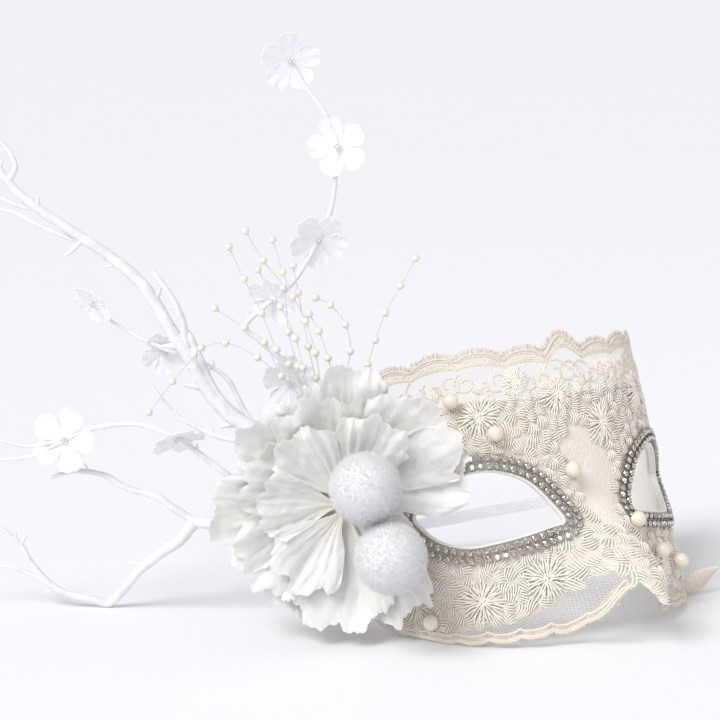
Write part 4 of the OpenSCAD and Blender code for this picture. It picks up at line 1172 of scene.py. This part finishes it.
def petalGrid(turn, reach, spread, depth, cup, ringR, folds, phase, seed):
    v = np.linspace(0, 1, petalPlan["rows"])[:, None]
    u = np.linspace(-1, 1, petalPlan["cols"])[None, :]
    ragged = np.array([noiseAt(x * 9.0, seed * 3.1, 0.5) + 0.5 * noiseAt(x * 31.0, seed, 8.0)
                       for x in u[0]])[None, :]
    length = reach * (1 - 0.2 * np.abs(u) ** 2.6 - 0.035 * np.cos(u * 3 * math.pi + phase) + 0.05 * ragged)
    r = petalPlan["root"] + (length - petalPlan["root"]) * v
    width = 0.35 + 0.65 * np.minimum(1, v / 0.55) ** 0.8 - 0.1 * np.clip(v - 0.7, 0, 1)
    angle = np.radians(turn) + np.radians(spread) * u * width
    x, z = r * np.cos(angle), r * np.sin(angle)
    wave = v ** 1.4 * (1.7 * np.sin(folds * u * math.pi * 0.4 + phase) + 0.35
                       * np.sin((folds + 2) * u * math.pi + 2 * phase))
    pleat = 0.09 * np.sin(u * 17 + phase * 3 + 2 * v) * np.clip(v * 1.5, 0, 1) * (1 - 0.4 * v)
    crease = np.array([[1 - 3 * abs(noiseAt(a * 3.2 + phase, b * 1.6, seed)) + 0.5
                        * (1 - 3 * abs(noiseAt(a * 8, b * 5, seed + 7))) for a in u[0]] for b in v[:, 0]])
    crumple = np.array([[noise.fractal(Vector((x[i, j] * 0.11, z[i, j] * 0.11, seed)), 0.8, 2.0, 3)
                         for j in range(petalPlan["cols"])] for i in range(petalPlan["rows"])])
    curl = -2.0 * np.clip((v - 0.86) / 0.14, 0, 1) ** 2 * np.sin(u * 5 + phase)
    y = depth - cup * (r / ringR) ** 2 + wave + pleat + 1.3 * crumple * v - 0.75 * crease * v
    y = y + curl - 1.4 * np.abs(u) ** 3 * v
    return np.stack([x, y, z], -1), np.stack([np.broadcast_to(u * 20, x.shape),
        np.broadcast_to(v * reach, x.shape)], -1)


def gridNormals(grid):
    du = np.gradient(grid, axis=1)
    dv = np.gradient(grid, axis=0)
    n = np.cross(du, dv)
    return n / np.maximum(np.linalg.norm(n, axis=2, keepdims=True), 1e-9)


for name, (node, ringR, cup, depth, petals) in petalRings.items():
    made, area = [], 0
    for k, (turn, reach, spread, folds, phase) in enumerate(petals):
        grid, flat = petalGrid(turn, reach, spread, depth - 0.5 * k, cup, ringR, folds, phase,
                               petalRng.uniform(1, 90))
        grid = fromHeart(grid)
        n = gridNormals(grid) * petalPlan["thick"] / 2 * mm
        points, faces = closedGrid(grid + n, grid - n)
        made.append(addPiece(name, points, faces, silkFinish, flat=np.concatenate([flat.reshape(-1, 2)] * 2)))
        area += reach ** 2 * math.radians(spread) * 0.82 * mm * mm
    ring = joined(name, made)
    onRoot(ring, "petal_silk", node)
print("petals")

# Pompoms
pompomPlan = {"wide": 28.5, "fibre": 2.4, "coreShare": 0.52, "count": 5.4e6, "thin": 0.11, "ruffle": 0.65}
up = np.array([7, -10.5 - pompomPlan["wide"] / 2, 11.5])
drop = math.sqrt((pompomPlan["wide"] + 0.4) ** 2 - 10 ** 2 - 8 ** 2)
for k, (name, node, at) in enumerate((("upperPompom", "upper_pompom", up),
                                      ("lowerPompom", "lower_pompom", up + [10, -8, -drop]))):
    host = lineHost(name, [[(0, 0, 0), (0, 0, mm)]])
    ballPiece = grown(name, host, "fluff",
                      {"Core": (pompomPlan["wide"] / 2 - pompomPlan["fibre"] * pompomPlan["coreShare"]) * mm,
                       "Density": pompomPlan["count"], "Length": pompomPlan["fibre"] * mm,
                       "Fibre": pompomPlan["thin"] * mm, "Ruffle": pompomPlan["ruffle"], "Seed": 5 + k,
                       "Finish": fluffFinish})
    ballPiece.data.transform(Matrix.Translation(Vector(fromHeart(at))))
    onRoot(ballPiece, "pompom_fluff", node)
print("pompoms")

# Branches: lines of the bouquet's frame with a thickness at each end
branches = {
    "mainBranch": ("main_branch", [
        ([(-20, 16, 8), (-29, 18, 15), (-39, 21, 24), (-53, 23, 35), (-60, 24, 45), (-67, 25, 58),
          (-73, 25, 66), (-83, 26, 83),
          (-97, 27, 96), (-115, 28, 108), (-131, 29, 119), (-140, 30, 128), (-148, 31, 139), (-158, 32, 146),
          (-166, 33, 156)], 4, 1.2),
        ([(-67, 25, 60), (-68, 23, 70), (-72, 22, 80), (-80, 21, 92)], 1.9, 1.1),
        ([(-139, 30, 127), (-136, 31, 133), (-140, 32, 141), (-149, 33, 149)], 1.5, 0.6),
        ([(-124, 29, 115), (-135, 30, 117), (-148, 32, 122), (-158, 32, 121)], 1, 0.5),
        ([(-104, 28, 101), (-115, 29, 104), (-127, 30, 109), (-140, 31, 115), (-156, 31, 114)], 1.1, 0.5),
        ([(-108, 28, 104), (-113, 26, 99), (-116, 25, 97)], 1.2, 0.7),
        ([(-61, 25, 48), (-66, 22, 51)], 1.1, 0.6),
        ([(-45, 22, 29), (-55, 23, 41), (-61, 24, 54), (-66, 24, 66)], 1.8, 1.6)]),
    "thinTwig": ("thin_twig", [([(-20, 20.5, 12), (-33, 26, 20), (-43, 29, 31), (-50, 31, 44), (-59, 33, 50),
                                 (-77, 33, 57),
                                 (-91, 33, 64), (-99, 33, 69), (-106, 33, 76)], 1.3, 0.7)]),
    "shortTwig": ("short_twig", [([(-20, 11.5, 10), (-41, 12, 21), (-54, 13.4, 24), (-68, 14.5, 31),
                                   (-75, 14.5, 38), (-81, 14.5, 46)], 1.3, 0.6)]),
    "archingBranch": ("arching_branch", [
        ([(-20, 13, 1), (-43, 13, 4), (-51, 13, 9), (-64, 13, 19), (-76, 13, 26), (-88, 14, 29),
          (-104, 15, 27), (-117, 16, 22),
          (-132, 17, 19), (-146, 18, 22), (-160, 19, 24)], 1.5, 0.6),
        ([(-116, 16, 22.4), (-130, 17, 15), (-144, 18, 13), (-160, 19, 12)], 1, 0.5)]),
}
ground = -heart[2] / mm
foot = np.array([-103, 40, ground + 1.95])


def fromFoot(*points):
    return [tuple(foot + p) for p in points]


branches["forkedBranch"] = ("forked_branch", [
    ([(-20, 19, 0), (-38, 20, -9), (-53, 22, -15), (-66, 23, -15)], 2.6, 2.3),
    ([(-63, 23, -15.5), (-73, 23, -9), (-80, 23, -4), (-93, 23, 0), (-101, 23, 5), (-113, 23, 7),
      (-125, 23, 4)], 1.8, 0.9),
    ([(-64, 23, -14.5), (-71, 26, -24), (-79, 29, -30), (-88, 33, -38), (-96, 37, -48),
      *fromFoot((0, 0, 0), (-7, 0, 1.5), (-18, 0, 4), (-28, 0, 10))], 2.5, 1.5),
    (fromFoot((-26, 0, 9), (-33, 0, 18), (-38, 0, 27), (-46, -1, 34), (-58, -2, 42), (-66, -3, 52)), 1.3,
     0.5),
    (fromFoot((-26, 0, 9), (-35, 1, 13), (-44, 2, 16), (-55, 3, 15), (-66, 4, 18)), 1.1, 0.5),
    (fromFoot((-37.5, 0, 26), (-34, 0, 31)), 0.8, 0.4)])
stemPath = [(-20, 17, 14), (-18, 22, 38), (-26, 23, 52), (-35, 23, 61), (-42, 22, 68), (-35, 21, 76),
            (-27, 21, 82), (-20, 21, 90), (-12, 21, 104), (-7, 21, 116), (-5, 21, 129), (-4, 21, 142),
            (-9, 21, 155), (-17, 21, 166), (-23, 21, 176)]
branches["blossomStem"] = ("blossom_stem", [(stemPath, 1.2, 0.9)])
barkPlan = {"lumps": 0.36, "ridges": 0.09, "stubEvery": 27, "seed": 31}
barkRng = random.Random(barkPlan["seed"])
for name, (node, parts) in branches.items():
    paths, girths = [], []
    for index, (points, r0, r1) in enumerate(parts):
        line = smoothLine(points, 8)
        t = np.linspace(0, 1, len(line))
        swell = np.array([1 + 0.13 * noiseAt(p[0] * 0.16, p[2] * 0.16, index) for p in line])
        girth = (r0 + (r1 - r0) * t) * swell
        girth[-3:] *= [0.95, 0.85, 0.5]
        if index:
            girth[:4] *= [1.35, 1.25, 1.12, 1.04]
        paths.append(fromHeart(line))
        girths.append(girth)
        run = runOf(line)
        at = barkPlan["stubEvery"] * barkRng.uniform(0.5, 1.0)
        while at < run[-1] - 6 and name != "blossomStem":  # short thorns and broken side shoots
            i = int(np.searchsorted(run, at))
            along = line[min(i + 1, len(line) - 1)] - line[i - 1]
            along /= np.linalg.norm(along)
            out = np.cross(along, [0, 1, 0]) * barkRng.choice((1, -1))
            g = girth[i]
            if line[i][2] - ground > 6:
                long = g * barkRng.uniform(0.9, 1.8) + 0.4
                stub = np.array([line[i], line[i] + out * g * 0.8 + along * 0.2,
                                 line[i] + out * (g * 0.8 + long) + along * long * 0.8])
                paths.append(fromHeart(stub))
                girths.append(np.array([0.62, 0.5, 0.2]) * g)
            at += barkPlan["stubEvery"] * barkRng.uniform(0.6, 1.7)
    wrapped = name == "blossomStem"
    calm = 0.35 if wrapped else 1
    wood = grown(name, lineHost(name, paths, girths), "bark",
                 {"Girth": mm, "Lumps": barkPlan["lumps"] * calm * mm,
                  "Ridges": barkPlan["ridges"] * calm * mm, "Sides": 14, "Finish": tapeFinish if wrapped
                  else barkFinish})
    onRoot(wood, "binding_tape" if wrapped else "painted_twig", node)
print("branches")

# Tape wound round the foot of the branches
tapePlan = {"line": [(-32, 17.5, 8), (-30, 17.2, 7.5), (-16, 15, 6), (-5, 12.5, 4), (-3, 12, 3.5)],
            "girth": [6.5, 8.5, 7.5, 5, 3.5], "turns": 9, "lip": 0.35}
line = smoothLine(tapePlan["line"], 12)
girth = np.interp(np.linspace(0, 4, len(line)), range(5), tapePlan["girth"])
rings, n = [], 40
for i, p in enumerate(line):
    t = line[min(i + 1, len(line) - 1)] - line[max(i - 1, 0)]
    t /= np.linalg.norm(t)
    a = np.cross(t, [0, 1, 0])
    a /= np.linalg.norm(a)
    b = np.cross(a, t)
    step = (i / len(line) * tapePlan["turns"] + np.arange(n) / n) % 1
    r = girth[i] - tapePlan["lip"] + tapePlan["lip"] * step
    rings.append(p + r[:, None] * (circleOf(1, n) @ np.array([a, b])))
points = fromHeart(np.concatenate([*rings, [line[0]], [line[-1]]]))
faces = [f[::-1] for f in ringFaces(len(line), n, capped=True)]
onRoot(addPiece("branchBinding", points, faces, tapeFinish), "binding_tape", "branch_binding")

# Blossoms: place, turn about the upright, tip, size
blossomPlan = {"wide": 25, "lobes": 5, "thick": 0.28, "cup": 2.2}
blossoms = [((-23, 20, 176), 10, 15, 1), ((-4, 20, 142), -8, 0, 1), ((-12, 20, 104), 12, 20, 1),
            ((-117, 15.5, 22), -10, -5, 1.12), ((-70, 13, 22.5), 30, 55, 0.95),
            ((-106, 32, 76), -40, 35, 0.8), ((-77, 35, 55), 15, 10, 0.8), ((-31, 21, 79), -30, 25, 0.9),
            ((-24.5, 24, 44), 15, -10, 0.95)]
stamen = ball("stamenMaster", 0.5 * mm, 6, 8)
for i, (place, turn, tip, size) in enumerate(blossoms):
    R = blossomPlan["wide"] * size / 2
    q = np.arange(120) * 2 * math.pi / 120
    rr = np.linspace(0.04, 1, 14)[:, None]
    lobe = np.abs(np.cos(blossomPlan["lobes"] * (q - math.radians(18 * (i + 1))) / 2))
    edge = np.array([noiseAt(math.cos(v) * 4, math.sin(v) * 4, i * 7.0) for v in q])
    reach = R * (0.5 + 0.5 * lobe ** 0.42 - 0.05 * np.clip((lobe - 0.95) / 0.05, 0, 1) + 0.03 * edge)
    r = rr * reach
    deep = -blossomPlan["cup"] * rr ** 2 * size + 1.1 * rr * (1 - lobe) + 0.5 * rr * np.sin(15 * q
        + i) * (rr > 0.5) * (rr - 0.5)
    local = np.stack([r * np.cos(q), r * np.sin(q), -deep - blossomPlan["cup"] * 0.35], -1)
    turnBy = Matrix.Rotation(math.radians(turn), 3, "Z") @ Matrix.Rotation(math.radians(90 + tip), 3, "X")
    world = fromHeart(local @ np.array(turnBy).T + np.array(place))
    n = gridNormals(world) * blossomPlan["thick"] / 2 * mm
    points, faces = closedGrid(world + n, world - n, wrap=True)
    flower = addPiece(f"blossom{i + 1}", points, faces, blossomFinish)
    dots = []
    for v, w in [(0, 0), *[(k * math.pi / 3, 1.3) for k in range(6)]]:
        at = np.array(turnBy) @ np.array([0.9 * math.cos(v) * w, 0.9 * math.sin(v) * w,
            0.7]) + np.array(place)
        dots.append((fromHeart(at), np.eye(3), 1.0 if w else 1.5))
    seeds = copies(f"blossomSeeds{i + 1}", stamen, dots, beadFinish)
    onRoot(flower, "blossom_cloth", f"blossom_{i + 1}")
    onRoot(seeds, "blossom_cloth")
bpy.data.objects.remove(stamen)
print("blossoms")

# Pearl sprays on their three bodies
sprayPlan = {"bead": 3.3, "stem": 0.25, "pad": 9}
stemOrder = [-1, -3, -2, -1, -1, 1, 1, 3, -3, -3]
sprays = [
    (14, [(-17, 44), (-24, 54), (-29, 60), (-35, 75), (-42, 89), (-48, 102)]),
    (10, [(-20, 54), (-24, 68), (-26, 86), (-34, 97), (-41, 109)]),
    (6, [(-14, 39), (-18, 54), (-21, 66), (-27, 79), (-36, 94)]),
    (6, [(-9.5, 40), (-13, 60), (-17, 73), (-22, 83), (-26, 93), (-30, 106)]),
    (10, [(-9, 39), (-13, 49), (-16, 62), (-18, 73), (-20, 84), (-22, 95)]),
    (6, [(-4, 42), (-8, 58), (-11.6, 69), (-15.6, 76)]),
    (10, [(-2, 42), (1, 60), (-1, 71), (-7, 79), (-13, 82)]),
    (2.2, [(3, 40), (8, 56), (11, 66), (15, 77), (21, 88), (27, 99)]),
    (14, [(-17, 37), (-27, 49), (-34, 63), (-42, 69), (-54, 77)]),
    (18, [(-20, 40), (-37, 56), (-50, 62), (-60, 60), (-63, 57), (-72, 46), (-82, 33)])]
sprayBodies = {body: members for body, members in (("outer_sprays", (1, 9, 10)),
    ("middle_sprays", (2, 3, 4, 5, 6, 7)), ("inner_spray", (8,)))}
bead = ball("beadMaster", sprayPlan["bead"] / 2 * mm, 12, 18)
for body, members in sprayBodies.items():
    for i in members:
        depth, points = sprays[i - 1]
        x = 1 + stemOrder[i - 1]
        root = (x, depth, math.sqrt(sprayPlan["pad"] ** 2 - (x - bouquetPlan["side"] / 2) ** 2) + 0.7)
        line = [root] + [(p[0], depth, p[1]) for p in points]
        stem = threads(f"sprayStem{i}", [fromHeart(smoothLine(line, 8))], sprayPlan["stem"], stemFinish, 7)
        beads = copies(f"sprayPearls{i}", bead, [(fromHeart(p), upright(turned([0, 1, 0])), 1.0)
            for p in line[1:]], beadFinish)
        for piece, slot, node in ((stem, "clear_stem", f"spray_stem_{i}"),
                                  (beads, "pearl", f"spray_pearls_{i}")):
            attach(piece, body)
            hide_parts(node)
bpy.data.objects.remove(bead)
print("sprays")

# Floor and light
floorPlan = {"half": 90, "clean": (243, 243, 246), "wornAndReflection": (241, 241, 245)}
corner = floorPlan["half"]
floor = addPiece("Floor", [(-corner, -corner, 0), (corner, -corner, 0), (corner, corner, 0),
                           (-corner, corner, 0)], [(0, 1, 2, 3)],
                           finish("pale floor", floorPlan["clean"], floorPlan["wornAndReflection"], grainOf(40.0, 8.0),
                                  tone=(2.0, 0.2), bump=(0.0001, 0.02)))
world = bpy.data.worlds.new("Studio")
world.use_nodes = True
world.node_tree.nodes["Background"].inputs[0].default_value = (0.98, 0.98, 1, 1)
world.node_tree.nodes["Background"].inputs[1].default_value = 0.56
bpy.context.scene.world = world
bpy.context.scene.view_settings.view_transform = "Standard"
lights = [("key", "SUN", (-0.85, -0.2, 1.0), 0.5, 2.1), ("front", "AREA", (-0.75, -1.1, 0.75), 0.4, 1.6),
          ("side", "AREA", (1.0, -0.7, 0.8), 0.6, 0.8)]
for name, kind, place, size, power in lights:
    lamp = linked(name, bpy.data.lights.new(name, kind))
    if kind == "SUN":
        lamp.data.angle = size
    else:
        lamp.data.size = size
    lamp.data.energy = power
    lamp.location = place
    lamp.rotation_euler = (Vector(place) - Vector((0, 0, 0.1))).to_track_quat("Z", "Y").to_euler()
